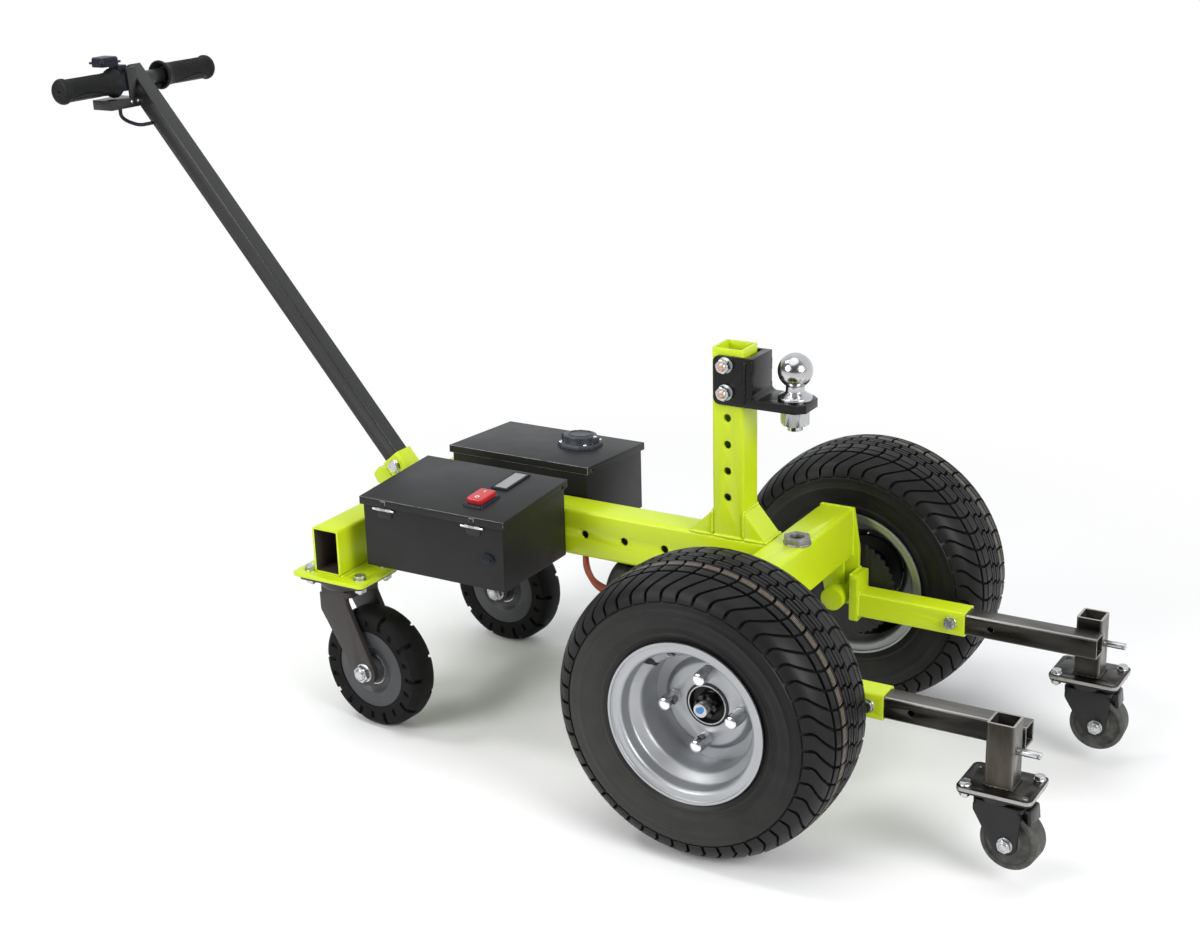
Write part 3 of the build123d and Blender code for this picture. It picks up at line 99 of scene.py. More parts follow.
for lamp_name, lamp_at, lamp_size, watts in (
    ("lamp_overhead", (0.1, -0.8, 3.4), 3.0, 35),
    ("lamp_left", (-1.6, -3.4, 2.2), 2.2, 99),
    ("lamp_right", (3.2, -1.2, 1.8), 1.8, 82),
    ("lamp_edges", (-2.3, -0.7, 3.4), 0.7, 30),
):
    lamp_data = bpy.data.lights.new(lamp_name, "AREA")
    lamp_data.shape = "DISK"
    lamp_data.size = lamp_size
    lamp_data.energy = watts
    lamp = bpy.data.objects.new(lamp_name, lamp_data)
    lamp.location = lamp_at
    lamp.rotation_euler = (lamp_aim - Vector(lamp_at)).to_track_quat("-Z", "Y").to_euler()
    studio.collection.objects.link(lamp)
eye = Vector((1.46485, -2.3181, 1.3367))
aim = Vector((0.09034, 0, 0.41822))
roll = Matrix.Rotation(math.radians(-1.39), 3, "Z")
back = (eye - aim).normalized()
right = Vector((0, 0, 1)).cross(back).normalized()
turn = Matrix((right, back.cross(right), back)).transposed() @ roll
camera_data = bpy.data.cameras.new("camera")
camera_data.sensor_fit = "HORIZONTAL"
camera_data.lens = 56.707
camera_data.shift_x = -0.01204
camera_data.shift_y = 0.00102
camera = bpy.data.objects.new("camera", camera_data)
camera.matrix_world = Matrix.Translation(eye) @ turn.to_4x4()
studio.collection.objects.link(camera)
studio.camera = camera

# The welded frame: main beam, crossbeam, rear cross tube with its caster plates, axle plates,
# arm sleeves, post and gussets. Rolled steel tube and plate, welded and then powder coated lime.
axle_x = 0.393251
body_of = {node: obj["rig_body"] for node, obj in frame["nodes"].items()}


class Value:
    """A number that changes over a surface, written in plain arithmetic."""

    def __init__(self, finish, socket):
        self.finish = finish
        self.socket = socket

    def work(self, operation, *others):
        inputs = dict(enumerate((self, *others)))
        return self.finish.node("ShaderNodeMath", {"operation": operation}, inputs)

    def __rsub__(self, other):
        return self.finish.node("ShaderNodeMath", {"operation": "SUBTRACT"}, {0: other, 1: self})

    __add__ = __radd__ = partialmethod(work, "ADD")
    __sub__ = partialmethod(work, "SUBTRACT")
    __mul__ = __rmul__ = partialmethod(work, "MULTIPLY")
    __pow__ = partialmethod(work, "POWER")
    __abs__ = partialmethod(work, "ABSOLUTE")
    __gt__ = partialmethod(work, "GREATER_THAN")
    __lt__ = partialmethod(work, "LESS_THAN")


class Finish:
    """One finish: its material, the shader, and the patterns that feed it."""

    def __init__(self, name, settings):
        self.material = bpy.data.materials.new(name)
        self.material.use_nodes = True
        self.tree = self.material.node_tree
        self.shader = self.tree.nodes["Principled BSDF"]
        self.feed(self.shader, settings)
        self.place = self.node("ShaderNodeTexCoord", {}, {}, "Object")

    def feed(self, node, inputs):
        for key, value in inputs.items():
            if isinstance(value, Value):
                self.tree.links.new(value.socket, node.inputs[key])
            elif node.inputs[key].type == "RGBA":
                node.inputs[key].default_value = (*value, 1)
            else:
                node.inputs[key].default_value = value

    def node(self, kind, settings, inputs, output=0):
        made = self.tree.nodes.new(kind)
        for key, value in settings.items():
            setattr(made, key, value)
        self.feed(made, inputs)
        return Value(self, made.outputs[output])

    def set(self, key, value):
        self.feed(self.shader, {key: value})

    def axis(self, letter):
        """One coordinate of the place on the piece, in metres."""
        return self.node("ShaderNodeSeparateXYZ", {}, {0: self.place}, letter)

    def tag(self, name):
        """A number stored on the mesh under that name."""
        return self.node("ShaderNodeAttribute", {"attribute_name": name}, {}, "Fac")

    def noise(self, scale, detail=2, stretch=None):
        place = self.place
        if stretch:
            place = self.node("ShaderNodeMapping", {}, {"Vector": place, "Scale": stretch})
        inputs = {"Vector": place, "Scale": scale, "Detail": detail}
        return self.node("ShaderNodeTexNoise", {}, inputs, "Fac")

    def step(self, value, low, high):
        """0 below low, 1 above high, and even between."""
        return self.node("ShaderNodeMapRange", {}, {0: value, 1: low, 2: high, 3: 0.0, 4: 1.0})

    def blend(self, share, a, b):
        return self.node("ShaderNodeMix", {"data_type": "RGBA"}, {0: share, 6: a, 7: b}, 2)

    def mottle(self, scale, detail, dark, light):
        """A base colour that drifts between two shades."""
        self.set("Base Color", self.blend(self.noise(scale, detail), dark, light))

    def rough(self, least, spread, scale, detail):
        """A roughness that drifts upwards from the least by no more than the spread."""
        self.set("Roughness", least + spread * self.noise(scale, detail))

    def bump(self, height, depth, strength):
        inputs = {"Height": height, "Distance": depth, "Strength": strength}
        self.set("Normal", self.node("ShaderNodeBump", {}, inputs))

    def grain(self, scale, detail, depth, strength):
        """A fine relief of one pattern."""
        self.bump(self.noise(scale, detail), depth, strength)


def settle(mesh, name, finish, body, corner=32):
    """Makes a finished piece of the shaped mesh and seats it on its body."""
    data = bpy.data.meshes.new(name)
    mesh.to_mesh(data)
    mesh.free()
    data.shade_smooth()
    data.set_sharp_from_angle(angle=math.radians(corner))
    data.materials.append(finish.material)
    piece = bpy.data.objects.new(name, data)
    studio.collection.objects.link(piece)
    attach(piece, body)
    return piece


bevel_way = {"affect": "EDGES", "profile": 0.5, "material": -1}


def dress(node, finish, edge, segments=2):
    """The solid of that name with its sharp edges eased by a small round, whose faces are tagged for edge
    wear and painted highlights.
    """
    mesh = bmesh.new()
    mesh.from_mesh(frame["nodes"][node].data)
    wear_and_highlight = mesh.faces.layers.float.new("wear_and_highlight")
    bmesh.ops.remove_doubles(mesh, verts=mesh.verts, dist=1e-6)
    flat, ridge = math.radians(0.4), math.radians(30)
    bmesh.ops.dissolve_limit(mesh, angle_limit=flat, verts=mesh.verts, edges=mesh.edges)
    if edge:
        sharp = [e for e in mesh.edges if len(e.link_faces) == 2 and e.calc_face_angle(0) > ridge]
        rounds = bmesh.ops.bevel(
            mesh, geom=sharp, offset=edge, segments=segments, clamp_overlap=True, **bevel_way
        )
        for face in rounds["faces"]:
            face[wear_and_highlight] = 1
    piece = settle(mesh, node + "_finish", finish, body_of[node])
    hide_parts(node)
    return piece


def fit(mesh, name, finish, body, corner=32, node=None):
    """Seats a piece shaped here, its faces turned outwards, in place of the node if one is named."""
    bmesh.ops.recalc_face_normals(mesh, faces=mesh.faces)
    piece = settle(mesh, name, finish, body, corner)
    if node:
        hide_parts(node)


lime = Finish(
    "lime_powder_coat", {"Specular IOR Level": 0.4, "Coat Weight": 0.12, "Coat Roughness": 0.18}
)
lime_skin = lime.blend(lime.noise(7, 3), (0.5, 0.63, 0.007), (0.56, 0.7, 0.012))
rear_tube_x, rear_tube_z = axle_x - 0.689, 0.2855
bore_half_x, bore_half_z = 0.0212, 0.0337
in_rear_tube = abs(lime.axis("X") - rear_tube_x) < bore_half_x
in_rear_tube = in_rear_tube * (abs(lime.axis("Z") - rear_tube_z) < bore_half_z)
lime.set("Base Color", lime.blend(in_rear_tube, lime_skin, (0.05, 0.04, 0.034)))
lime.rough(0.24, 0.14, 38, 3)
lime.bump(lime.noise(420, 2) + 0.35 * lime.noise(1500, 1), 0.00016, 0.35)
lime_round = 0.0009
for node in ("main_beam", "crossbeam", "rear_cross_tube", "rear_plates", "axle_brackets"):
    dress(node, lime, lime_round)
for node in ("arm_sleeves", "post", "post_gussets", "handle_collar"):
    dress(node, lime, lime_round)


def bead(mesh, start, end, across, radius, seed):
    """A weld bead from start to end: a round ridge with overlapping ripples, uneven along its length."""
    ring_gap, ripple_gap, drift_gap = 0.0016, 0.0042, 0.05
    along = end - start
    length = along.length
    rings = max(6, int(length / ring_gap))
    made = bmesh.ops.create_grid(mesh, x_segments=rings, y_segments=7, size=0.5)["verts"]
    side = Vector(across).normalized()
    up = along.normalized().cross(side)
    for v in made:
        share = v.co.x + 0.5
        angle = (v.co.y + 0.5) * math.tau
        ripple = abs(math.sin(math.pi * share * length / ripple_gap + seed)) ** 0.6
        drift = 0.12 * math.sin(9.1 * share * length / drift_gap + 2.3 * seed)
        drift += 0.07 * math.sin(31 * share + seed)
        taper = min(1, 14 * min(share, 1 - share) * length / drift_gap + 0.25)
        size = radius * (0.82 + 0.2 * ripple + drift) * taper
        v.co = start + along * share + side * size * math.cos(angle) + up * size * math.sin(angle)
    bmesh.ops.remove_doubles(mesh, verts=made, dist=1e-6)


def spot(x, y, z):
    """A place given in millimetres from the wheel axle."""
    return Vector((axle_x + x / 1000, y / 1000, z / 1000))


frame_top, beam_side, post_side, plate_top = 345, 27.5, 25, 248
tube_front, tube_back, cross_back, cross_front = -664, -714, -39, 16
post_back, post_front = -124.5, -74.5
gusset_back, gusset_front, gusset_back_z, gusset_front_z = -162, -40, 382, 386
sleeve_x, sleeve_low, sleeve_high = 38, 184, 222
axle_plate_x, axle_plate_z, cross_low, cross_end_low = 26, 250, 275, 268
gusset_tops = ((post_front, gusset_front_z), (post_back, gusset_back_z))
# from, to and the bead's radius, in millimetres from the wheel axle
weld_runs = [((tube_front, beam_side, frame_top), (tube_front, -beam_side, frame_top), 3.0)]
for y in (-beam_side, beam_side):
    weld_runs.append(((cross_back, y, frame_top - 1), (cross_back, y, cross_low), 3.0))
weld_runs.append(((cross_back, -beam_side, frame_top), (cross_back, beam_side, frame_top), 2.6))
foot_runs = ((post_back, post_front, 3.0), (gusset_back, post_back, 2.8), (post_front, gusset_front, 2.8))
for start, end, radius in foot_runs:
    for y in (-post_side, post_side):
        weld_runs.append(((start, y, frame_top), (end, y, frame_top), radius))
for x, z in gusset_tops:
    weld_runs.append(((x, -post_side, z), (x, post_side, z), 2.6))
for x, z in gusset_tops:
    weld_runs.append(((x, -post_side, frame_top + 1), (x, -post_side, z), 2.2))
for sign in (-1, 1):
    plate_in, plate_out, cross_end = sign * 132, sign * 221, sign * 165
    sleeve_in, sleeve_out, axle_plate_out = sign * 136, sign * 173, sign * 176
    wall_in, wall_out = sign * 135.5, sign * 173.5
    weld_runs += [
        ((tube_front, plate_in, plate_top), (tube_front, plate_out, plate_top), 3.0),
        ((tube_back, plate_in, plate_top), (tube_back, plate_out, plate_top), 3.0),
        ((cross_back + 1, cross_end, frame_top), (cross_front - 1, cross_end, frame_top), 2.4),
        ((cross_front, cross_end, frame_top - 5), (cross_front, cross_end, cross_end_low), 2.4),
        ((sleeve_x, sleeve_in, sleeve_high), (sleeve_x, sleeve_out, sleeve_high), 3.2),
        ((sleeve_x, wall_in, sleeve_low), (sleeve_x, wall_in, sleeve_high), 3.2),
        ((sleeve_x, wall_out, sleeve_low), (sleeve_x, wall_out, sleeve_high), 3.2),
        ((sleeve_x, sleeve_in, sleeve_low), (sleeve_x, sleeve_out, sleeve_low), 3.2),
        ((axle_plate_x, plate_in, axle_plate_z), (axle_plate_x, axle_plate_out, axle_plate_z), 2.6),
    ]
welds = bmesh.new()
for number, (start, end, radius) in enumerate(weld_runs):
    direction = (Vector(end) - Vector(start)).normalized()
    across = Vector((0, 0, 1)) if abs(direction.z) < 0.5 else Vector((1, 0, 0))
    bead(welds, spot(*start), spot(*end), direction.cross(across), radius / 1000, number * 1.7)
fit(welds, "frame_welds", lime, "chassis", 60)

# The plated steel fittings: the stub axles and the pins through the front sockets, turned steel with a
# zinc plate that has dulled a little, and the crossbeam's nut, welded on and scorched round its foot.
zinc = Finish("zinc_plate", {"Metallic": 1.0})
zinc.mottle(140, 3, (0.46, 0.47, 0.48), (0.64, 0.65, 0.66))
zinc.rough(0.2, 0.2, 400, 2)
zinc.grain(1800, 2, 0.00004, 0.4)
for node in ("stub_axles", "socket_pins"):
    dress(node, zinc, 0.0007)
scorched = Finish("scorched_zinc", {"Metallic": 0.9})
scorch = scorched.noise(90, 4)
scorched.set("Base Color", scorched.blend(scorch, (0.1, 0.095, 0.085), (0.42, 0.41, 0.4)))
scorched.set("Roughness", 0.34 + 0.24 * scorch)
dress("crossbeam_nut", scorched, 0.0012)
nut_low, nut_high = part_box("crossbeam_nut")
nut_mid = (nut_low + nut_high) / 2
nut_corner = (nut_high.x - nut_low.x) / 2
nut_bead_r, nut_bead_z = 0.0024, 0.3452
corners = []
for k in range(6):
    way = Vector((math.cos(k * math.pi / 3), math.sin(k * math.pi / 3)))
    corners.append(Vector((*(nut_mid.xy + nut_corner * way), nut_bead_z)))
nut_beads = bmesh.new()
for k, (start, end) in enumerate(zip(corners, corners[1:] + corners[:1])):
    bead(nut_beads, start, end, (end - start).cross(Vector((0, 0, 1))), nut_bead_r, 1.3 * k)
fit(nut_beads, "nut_welds", scorched, "chassis", 60)

# The bolts and nuts that hold the frame together: zinc plated hexagon heads and nuts on washers,
# with the thread's end standing out of each nut. Those through the ball bracket have coppery tips.


def turn_rings(mesh, rings, place, axis, around=48):
    """Skin over rings of (height, radius) or (height, radius, across flats), stood on place along axis."""
    made = bmesh.ops.create_grid(mesh, x_segments=around, y_segments=len(rings) - 1, size=0.5)["verts"]
    stand = Matrix.Translation(place) @ Vector(axis).to_track_quat("Z", "Y").to_matrix().to_4x4()
    sixth = math.pi / 3
    for v in made:
        angle = (v.co.x + 0.5) * math.tau
        height, radius, *flats = rings[round((v.co.y + 0.5) * (len(rings) - 1))]
        if flats:
            off_flat = (angle + sixth / 4) % sixth - sixth / 2
            radius = min(radius, flats[0] / 2 / math.cos(off_flat))
        v.co = stand @ (Vector((radius * math.cos(angle), radius * math.sin(angle), height)) / 1000)
    bmesh.ops.remove_doubles(mesh, verts=made, dist=1e-6)


def fastener(mesh, place, axis, flats, height, washer, thread=0.0, tip=0.0):
    """A hexagon head or nut with chamfered corners on a washer, and a thread's tip if it has one."""
    half = flats / 2
    top = washer + height
    rings = [(0, 0), (0, half * 1.24), (washer * 0.7, half * 1.24), (washer, half * 1.2)]
    rings += [(washer, half * 1.1, flats), (washer + 0.03 * flats, half * 1.2, flats)]
    rings += [(top - 0.06 * flats, half * 1.2, flats), (top - 0.02 * flats, half * 1.06, flats)]
    rings += [(top, half * 0.97, flats)]
    if tip:
        rings += [(top, thread + 0.6), (top - 0.8, thread)]
        turns = max(1, round(tip / 1.4))
        for k in range(turns):
            crest, root = top + tip * (k + 0.2) / turns, top + tip * (k + 0.7) / turns
            rings += [(crest, thread), (root, thread - 0.5)]
        rings += [(top + tip, thread - 0.7), (top + tip, 0)]
    else:
        rings += [(top, half * 0.62), (top - 0.25, half * 0.58), (top - 0.25, 0)]
    turn_rings(mesh, rings, place, axis)


# across flats, height and washer, and for a nut the thread's radius and how far it stands out
collar_head, arm_head, plate_head, foot_head = (17, 6, 1), (16, 5.5, 1.2), (17, 5.4, 1.5), (13, 5, 1.4)
plate_nut, foot_nut = (17, 8, 0.8, 4.8, 3.5), (13, 6.4, 0.6, 3.9, 3)
bracket_head, bracket_nut, ball_nut = (19, 8, 1.5), (19, 10, 1, 5.8, 2.4), (36, 22, 2)
# where the casters swivel, where their plates' bolts are from there, and the other bolts' places
rear_x, rear_y, rear_dx, rear_dy, plate_low = -680, 182, 47, 32, 236
front_x, front_y, foot_dx, foot_dy, foot_top, foot_under = 382.5, 189.5, 40.5, 28.5, 145, 137
collar_x, collar_side, collar_z = -702.5, 19.3, 361.1
arm_x, arm_y, arm_side, arm_z = 186, 154.5, 19, 203
bracket_x, bracket_y, bracket_heights = -99.5, 31.3, (566, 606)
ball_x, ball_nut_z = -5, 547
up, down = (0, 0, 1), (0, 0, -1)
bolts = bmesh.new()
for out in (-1, 1):
    fastener(bolts, spot(collar_x, out * collar_side, collar_z), (0, out, 0), *collar_head)
for sign in (-1, 1):
    for out in (-1, 1):
        fastener(bolts, spot(arm_x, sign * arm_y + out * arm_side, arm_z), (0, out, 0), *arm_head)
    for dx in (-rear_dx, rear_dx):
        for dy in (-rear_dy, rear_dy):
            x, y = rear_x + dx, sign * rear_y + dy
            fastener(bolts, spot(x, y, plate_top), up, *plate_head)
            fastener(bolts, spot(x, y, plate_low), down, *plate_nut)
    for end in (-1, 1):
        x, y = front_x + end * foot_dx, sign * front_y + end * foot_dy
        fastener(bolts, spot(x, y, foot_top), up, *foot_head)
        fastener(bolts, spot(x, y, foot_under), down, *foot_nut)
for height in bracket_heights:
    fastener(bolts, spot(bracket_x, -bracket_y, height), (0, -1, 0), *bracket_nut)
    fastener(bolts, spot(bracket_x, bracket_y, height), (0, 1, 0), *bracket_head)
fastener(bolts, spot(ball_x, 0, ball_nut_z), down, *ball_nut)
fit(bolts, "hex_bolts", zinc, "chassis", node="frame_bolts")
copper_tip = Finish("copper_bolt_end", {"Metallic": 0.9})
copper_tip.mottle(300, 3, (0.5, 0.24, 0.15), (0.72, 0.5, 0.4))
copper_tip.rough(0.3, 0.2, 500, 2)
tip_rings = [(0, 0), (0, 5.2), (0.5, 5.2), (0.9, 4.4), (1.0, 1.4), (0.7, 0.9), (0.7, 0)]
tip_y = -44.7
tips = bmesh.new()
for height in bracket_heights:
    turn_rings(tips, tip_rings, spot(bracket_x, tip_y, height), (0, -1, 0), 32)
fit(tips, "bracket_bolt_ends", copper_tip, "chassis")

# The drive unit under the main beam: a round motor against a gear case, both cast and painted
# black, hung from the beam by a welded block, with two orange leads into the motor's end. The wheel
# hubs have the same paint.
case_paint = Finish("black_case_paint", {})
case_paint.mottle(30, 3, (0.006, 0.006, 0.007), (0.016, 0.016, 0.017))
case_paint.rough(0.4, 0.2, 60, 2)
case_paint.grain(700, 3, 0.0001, 0.4)
for node in ("drive_motor", "gearbox", "motor_hanger"):
    dress(node, case_paint, 0.0025, 3)
for side in ("left", "right"):
    dress("hub_" + side, case_paint, 0.0008)
orange_lead = Finish("orange_lead_rubber", {"Roughness": 0.42})
orange_lead.mottle(60, 2, (0.34, 0.06, 0.028), (0.5, 0.1, 0.04))
orange_lead.grain(900, 2, 0.00006, 0.4)
dress("motor_cables", orange_lead, 0)

# The castle nuts on the stub axles, black oxide on forged steel, and a dab of blue paint that
# marks a nut as tightened.
black_oxide = Finish("black_oxide_steel", {"Metallic": 0.9})
black_oxide.mottle(90, 3, (0.035, 0.034, 0.034), (0.09, 0.088, 0.085))
black_oxide.rough(0.32, 0.2, 300, 2)
dress("castle_nuts", black_oxide, 0.0008)
blue_paint = Finish("blue_paint_dab", {"Coat Weight": 0.3})
blue_paint.mottle(300, 3, (0.02, 0.14, 0.42), (0.05, 0.25, 0.6))
blue_paint.rough(0.3, 0.2, 500, 2)
dab_r, dab_thick, axle_end, dab_z = 0.0058, 0.0006, 303, 209.8
dabs = bmesh.new()
for sign in (-1, 1):
    made = bmesh.ops.create_uvsphere(dabs, u_segments=40, v_segments=16, radius=1)["verts"]
    for v in made:
        angle = math.atan2(v.co.z, v.co.x)
        reach = dab_r * (1 + 0.16 * math.sin(2 * angle + 0.6) + 0.07 * math.sin(3 * angle + sign))
        shape = Vector((v.co.x * reach, v.co.y * dab_thick, v.co.z * reach))
        v.co = spot(0, sign * axle_end, dab_z) + shape
fit(dabs, "paint_dabs", blue_paint, "chassis")

# The wheel rims: deep pressed steel with a raised disc for the four lug nuts and a keyhole for the valve,
# silver outside and on the lips, and a plated ring round each hub's mouth. The rim's inner side is
# painted shade, coloured near black, and so is a dark patch at the keyhole.
silver = Finish("silver_rim_paint", {"Coat Weight": 0.15, "Coat Roughness": 0.15})
silver_skin = silver.blend(silver.noise(12, 3), (0.38, 0.39, 0.405), (0.465, 0.475, 0.49))
silver_metal = 0.88
wheel_y, wheel_z = 0.273, 0.209
rim_x = silver.axis("X") - axle_x
rim_y = abs(silver.axis("Y"))
rim_z = silver.axis("Z") - wheel_z
# Painted shade: inside the lips, the rim's inner side is coloured near black where it lies in shade.
lip_from, inside_to = 0.0965, 0.262
rim_lip = (rim_x * rim_x + rim_z * rim_z) ** 0.5 > lip_from
rim_inside = (rim_y < inside_to) * (1 - rim_lip)
# Painted shade: a near black, dull patch in the keyhole's shape on the outer cone stands for the shade seen
# through the valve's keyhole.
key_way, key_y, key_y_half = math.radians(134), 0.319, 0.009
key_head_at, key_head_r = 0.094, 0.0068
key_slot_at, key_slot_half, key_slot_width = 0.0885, 0.0055, 0.0038
key_along = math.cos(key_way) * rim_x + math.sin(key_way) * rim_z
key_aside = abs(math.sin(key_way) * rim_x - math.cos(key_way) * rim_z)
from_head = key_along - key_head_at
key_head = key_aside * key_aside + from_head * from_head < key_head_r**2
key_slot = (key_aside < key_slot_width) * (abs(key_along - key_slot_at) < key_slot_half)
keyhole_shade = (key_head + key_slot > 0.5) * (abs(rim_y - key_y) < key_y_half)
rim_painted_shade = rim_inside + keyhole_shade > 0.5
silver.set("Base Color", silver.blend(rim_painted_shade, silver_skin, (0.006, 0.006, 0.007)))
silver.set("Metallic", silver_metal - silver_metal * keyhole_shade)
silver.set("Roughness", 0.4 + 0.12 * silver.noise(90, 2) + 0.4 * keyhole_shade)
silver.grain(1500, 1, 0.00004, 0.3)
chrome = Finish("bright_chrome", {"Metallic": 1.0})
chrome.mottle(90, 3, (0.76, 0.765, 0.775), (0.9, 0.905, 0.91))
chrome.rough(0.18, 0.1, 120, 2)
lug_circle, lug_seat, lug_flats, hub_z = 50, 281, 19.4, 1000 * wheel_z
lug_rings = [(0, 0), (0, 9.6), (1, 10), (2.4, 10.2, lug_flats), (20.5, 12, lug_flats)]
lug_rings += [(22, 10.2, lug_flats), (23, 9.6), (29.5, 9.2), (31.4, 8.4), (32.5, 6.6), (33, 4), (33, 0)]
mouth_rings, mouth_y = [(0, 26.9), (0.5, 27.1), (0.6, 28.2), (0, 28.6)], 282.5
for side, out in (("left", 1), ("right", -1)):
    dress("rim_" + side, silver, 0.003, 3)
    caps = bmesh.new()
    for k in range(4):
        angle = math.radians(90 * k - 3)
        x, z = lug_circle * math.cos(angle), lug_circle * math.sin(angle)
        turn_rings(caps, lug_rings, spot(x, out * lug_seat, hub_z + z), (0, out, 0))
    nuts = "lug_nuts_" + side
    fit(caps, "lug_caps_" + side, chrome, "wheel_" + side, node=nuts)
    mouth = bmesh.new()
    turn_rings(mouth, mouth_rings, spot(0, out * mouth_y, hub_z), (0, out, 0), 64)
    fit(mouth, "hub_mouth_ring_" + side, zinc, "wheel_" + side)

# The tyres: wide road tyres with moulded rubber blocks. Curved shoulder blocks run up from a step
# on each wall to a groove, and rows of split blocks cover the crown. The two halves are alike,
# turned half round.
pitches = 48
tyre_wall = [
    # distance from the middle and radius, from the crown down to the step on the wall
    (0, 209.0), (16, 208.6), (32.5, 207.4), (44, 205.6), (54.5, 203.0), (63, 199.0),
    (70.5, 194.0), (76, 188.0), (80, 181.0), (81.8, 174.0),
]
wall_u, wall_r = zip(*tyre_wall)
wall_run = [0.0]
for (u0, r0), (u1, r1) in zip(tyre_wall, tyre_wall[1:]):
    wall_run.append(wall_run[-1] + math.hypot(u1 - u0, r1 - r0))


def between(value, keys, levels):
    """Straight-line reading of a short table."""
    for k0, k1, l0, l1 in zip(keys, keys[1:], levels, levels[1:]):
        if value <= k1:
            return l0 + (l1 - l0) * max(0, value - k0) / (k1 - k0)
    return levels[-1]


def on_wall(run, depth):
    """Axial place and radius at that distance from the crown's middle line, sunk by depth."""
    u, r = between(run, wall_run, wall_u), between(run, wall_run, wall_r)
    du = between(run + 2, wall_run, wall_u) - between(run - 2, wall_run, wall_u)
    dr = between(run + 2, wall_run, wall_r) - between(run - 2, wall_run, wall_r)
    size = math.hypot(du, dr) or 1
    return u + depth * dr / size, r - depth * du / size


# the grooves' course: distance over the tread from its middle, and turn about the axle in degrees
groove_run = [0, 9.6, 13.8, 23, 35.5, 47.2, 49, 59.8, 70, 78, 83.5, 92]
groove_turn = [0.6, 1.1, 0.1, -1.0, -1.0, 0, 0.2, 2.5, 5.3, 8.2, 9.3, 9.4]
block_depth, groove_depth, block_round, crown_r = 5.0, 4.6, 0.0006, 205
block_rows = [
    # run from, run to, sideways steps, turn in pitches, groove width in mm
    (49.2, wall_run[-1] - 0.4, 12, 0.0, 4.8),
    (34.4, 45.2, 3, 0.0, 4.0),
    (16.8, 32.2, 4, 0.0, 4.0),
    (9.0, 14.4, 2, 0.5, 4.0),
    (1.6, 7.2, 2, 0.5, 4.0),
]


def tread_blocks(mesh):
    """One pitch of blocks on the outer half, which is the side towards -Y."""
    pitch = 360 / pitches
    for run_from, run_to, steps, shift, gap in block_rows:
        made = bmesh.ops.create_grid(mesh, x_segments=steps, y_segments=3, size=0.5)["verts"]
        seats = {}
        for v in made:
            run = run_from + (run_to - run_from) * (v.co.x + 0.5)
            clear = math.degrees(gap / 2 / crown_r)
            swing = between(run, groove_run, groove_turn) + shift * pitch
            angle = math.radians(swing + clear + (pitch - 2 * clear) * (v.co.y + 0.5))
            u, r = on_wall(run, 0)
            low_u, low_r = on_wall(run, block_depth)
            v.co = Vector((r * math.cos(angle), -u, r * math.sin(angle))) / 1000
            seats[v] = Vector((low_r * math.cos(angle), -low_u, low_r * math.sin(angle))) / 1000
        tops = list({f for v in made for f in v.link_faces})
        raised = {tuple(round(x, 7) for x in v.co): v for v in made}
        low = bmesh.ops.extrude_face_region(mesh, geom=tops)["geom"]
        sunk = [g for g in low if isinstance(g, bmesh.types.BMVert)]
        for v in sunk:
            v.co = seats[raised[tuple(round(x, 7) for x in v.co)]]
        crest = [e for f in tops for e in f.edges if any(g not in tops for g in e.link_faces)]
        bmesh.ops.bevel(mesh, geom=list(set(crest)), offset=block_round, segments=1, **bevel_way)


blocks = bmesh.new()
tread_blocks(blocks)
bmesh.ops.recalc_face_normals(blocks, faces=blocks.faces)
copies = pitches - 1
one_pitch = blocks.verts[:] + blocks.edges[:] + blocks.faces[:]
about_axle = {"cent": (0, 0, 0), "axis": (0, 1, 0)}
rest_of_round = math.tau * copies / pitches
bmesh.ops.spin(blocks, geom=one_pitch, angle=rest_of_round, steps=copies, use_duplicate=True, **about_axle)
half_turn = Matrix.Rotation(math.pi, 4, "X")
copied = bmesh.ops.duplicate(blocks, geom=blocks.verts[:] + blocks.edges[:] + blocks.faces[:])["geom"]
copied_verts = [g for g in copied if isinstance(g, bmesh.types.BMVert)]
bmesh.ops.transform(blocks, matrix=half_turn, verts=copied_verts)
carcass_half = [on_wall(run, groove_depth) for run in (0, 12, 24, 36, 47, 56, 64, 71, 78, 84, 90)]
carcass_half += [
    # the wall below the step, its two ribs, the bead on the rim and the inside
    (80.6, 172.6), (82.2, 171.6), (82.5, 165), (82.5, 158),
    (82.9, 157.4), (82.9, 155.6), (82.4, 155), (81.6, 148), (79.8, 140), (77.0, 132),
    (75.6, 128.6), (76.2, 127.6), (76.2, 124.6), (74.6, 123.2), (72.6, 119.6), (71.4, 117.2),
    (69.8, 116.6), (69.8, 102), (55, 102), (57.8, 114),
]
carcass = bmesh.new()
groove_floor = carcass.faces.layers.float.new("groove_floor")
ring = [(-u, r) for u, r in reversed(carcass_half)] + carcass_half[1:]
verts = [carcass.verts.new((0, u / 1000, r / 1000)) for u, r in ring]
for a, b in zip(verts, verts[1:] + verts[:1]):
    carcass.edges.new((a, b))
outline = carcass.verts[:] + carcass.edges[:]
bmesh.ops.spin(carcass, geom=outline, angle=math.tau, steps=144, use_merge=True, **about_axle)
bmesh.ops.recalc_face_normals(carcass, faces=carcass.faces)
step_r = 0.1729
for face in carcass.faces:
    face[groove_floor] = float(all(math.hypot(v.co.x, v.co.z) > step_r for v in face.verts))

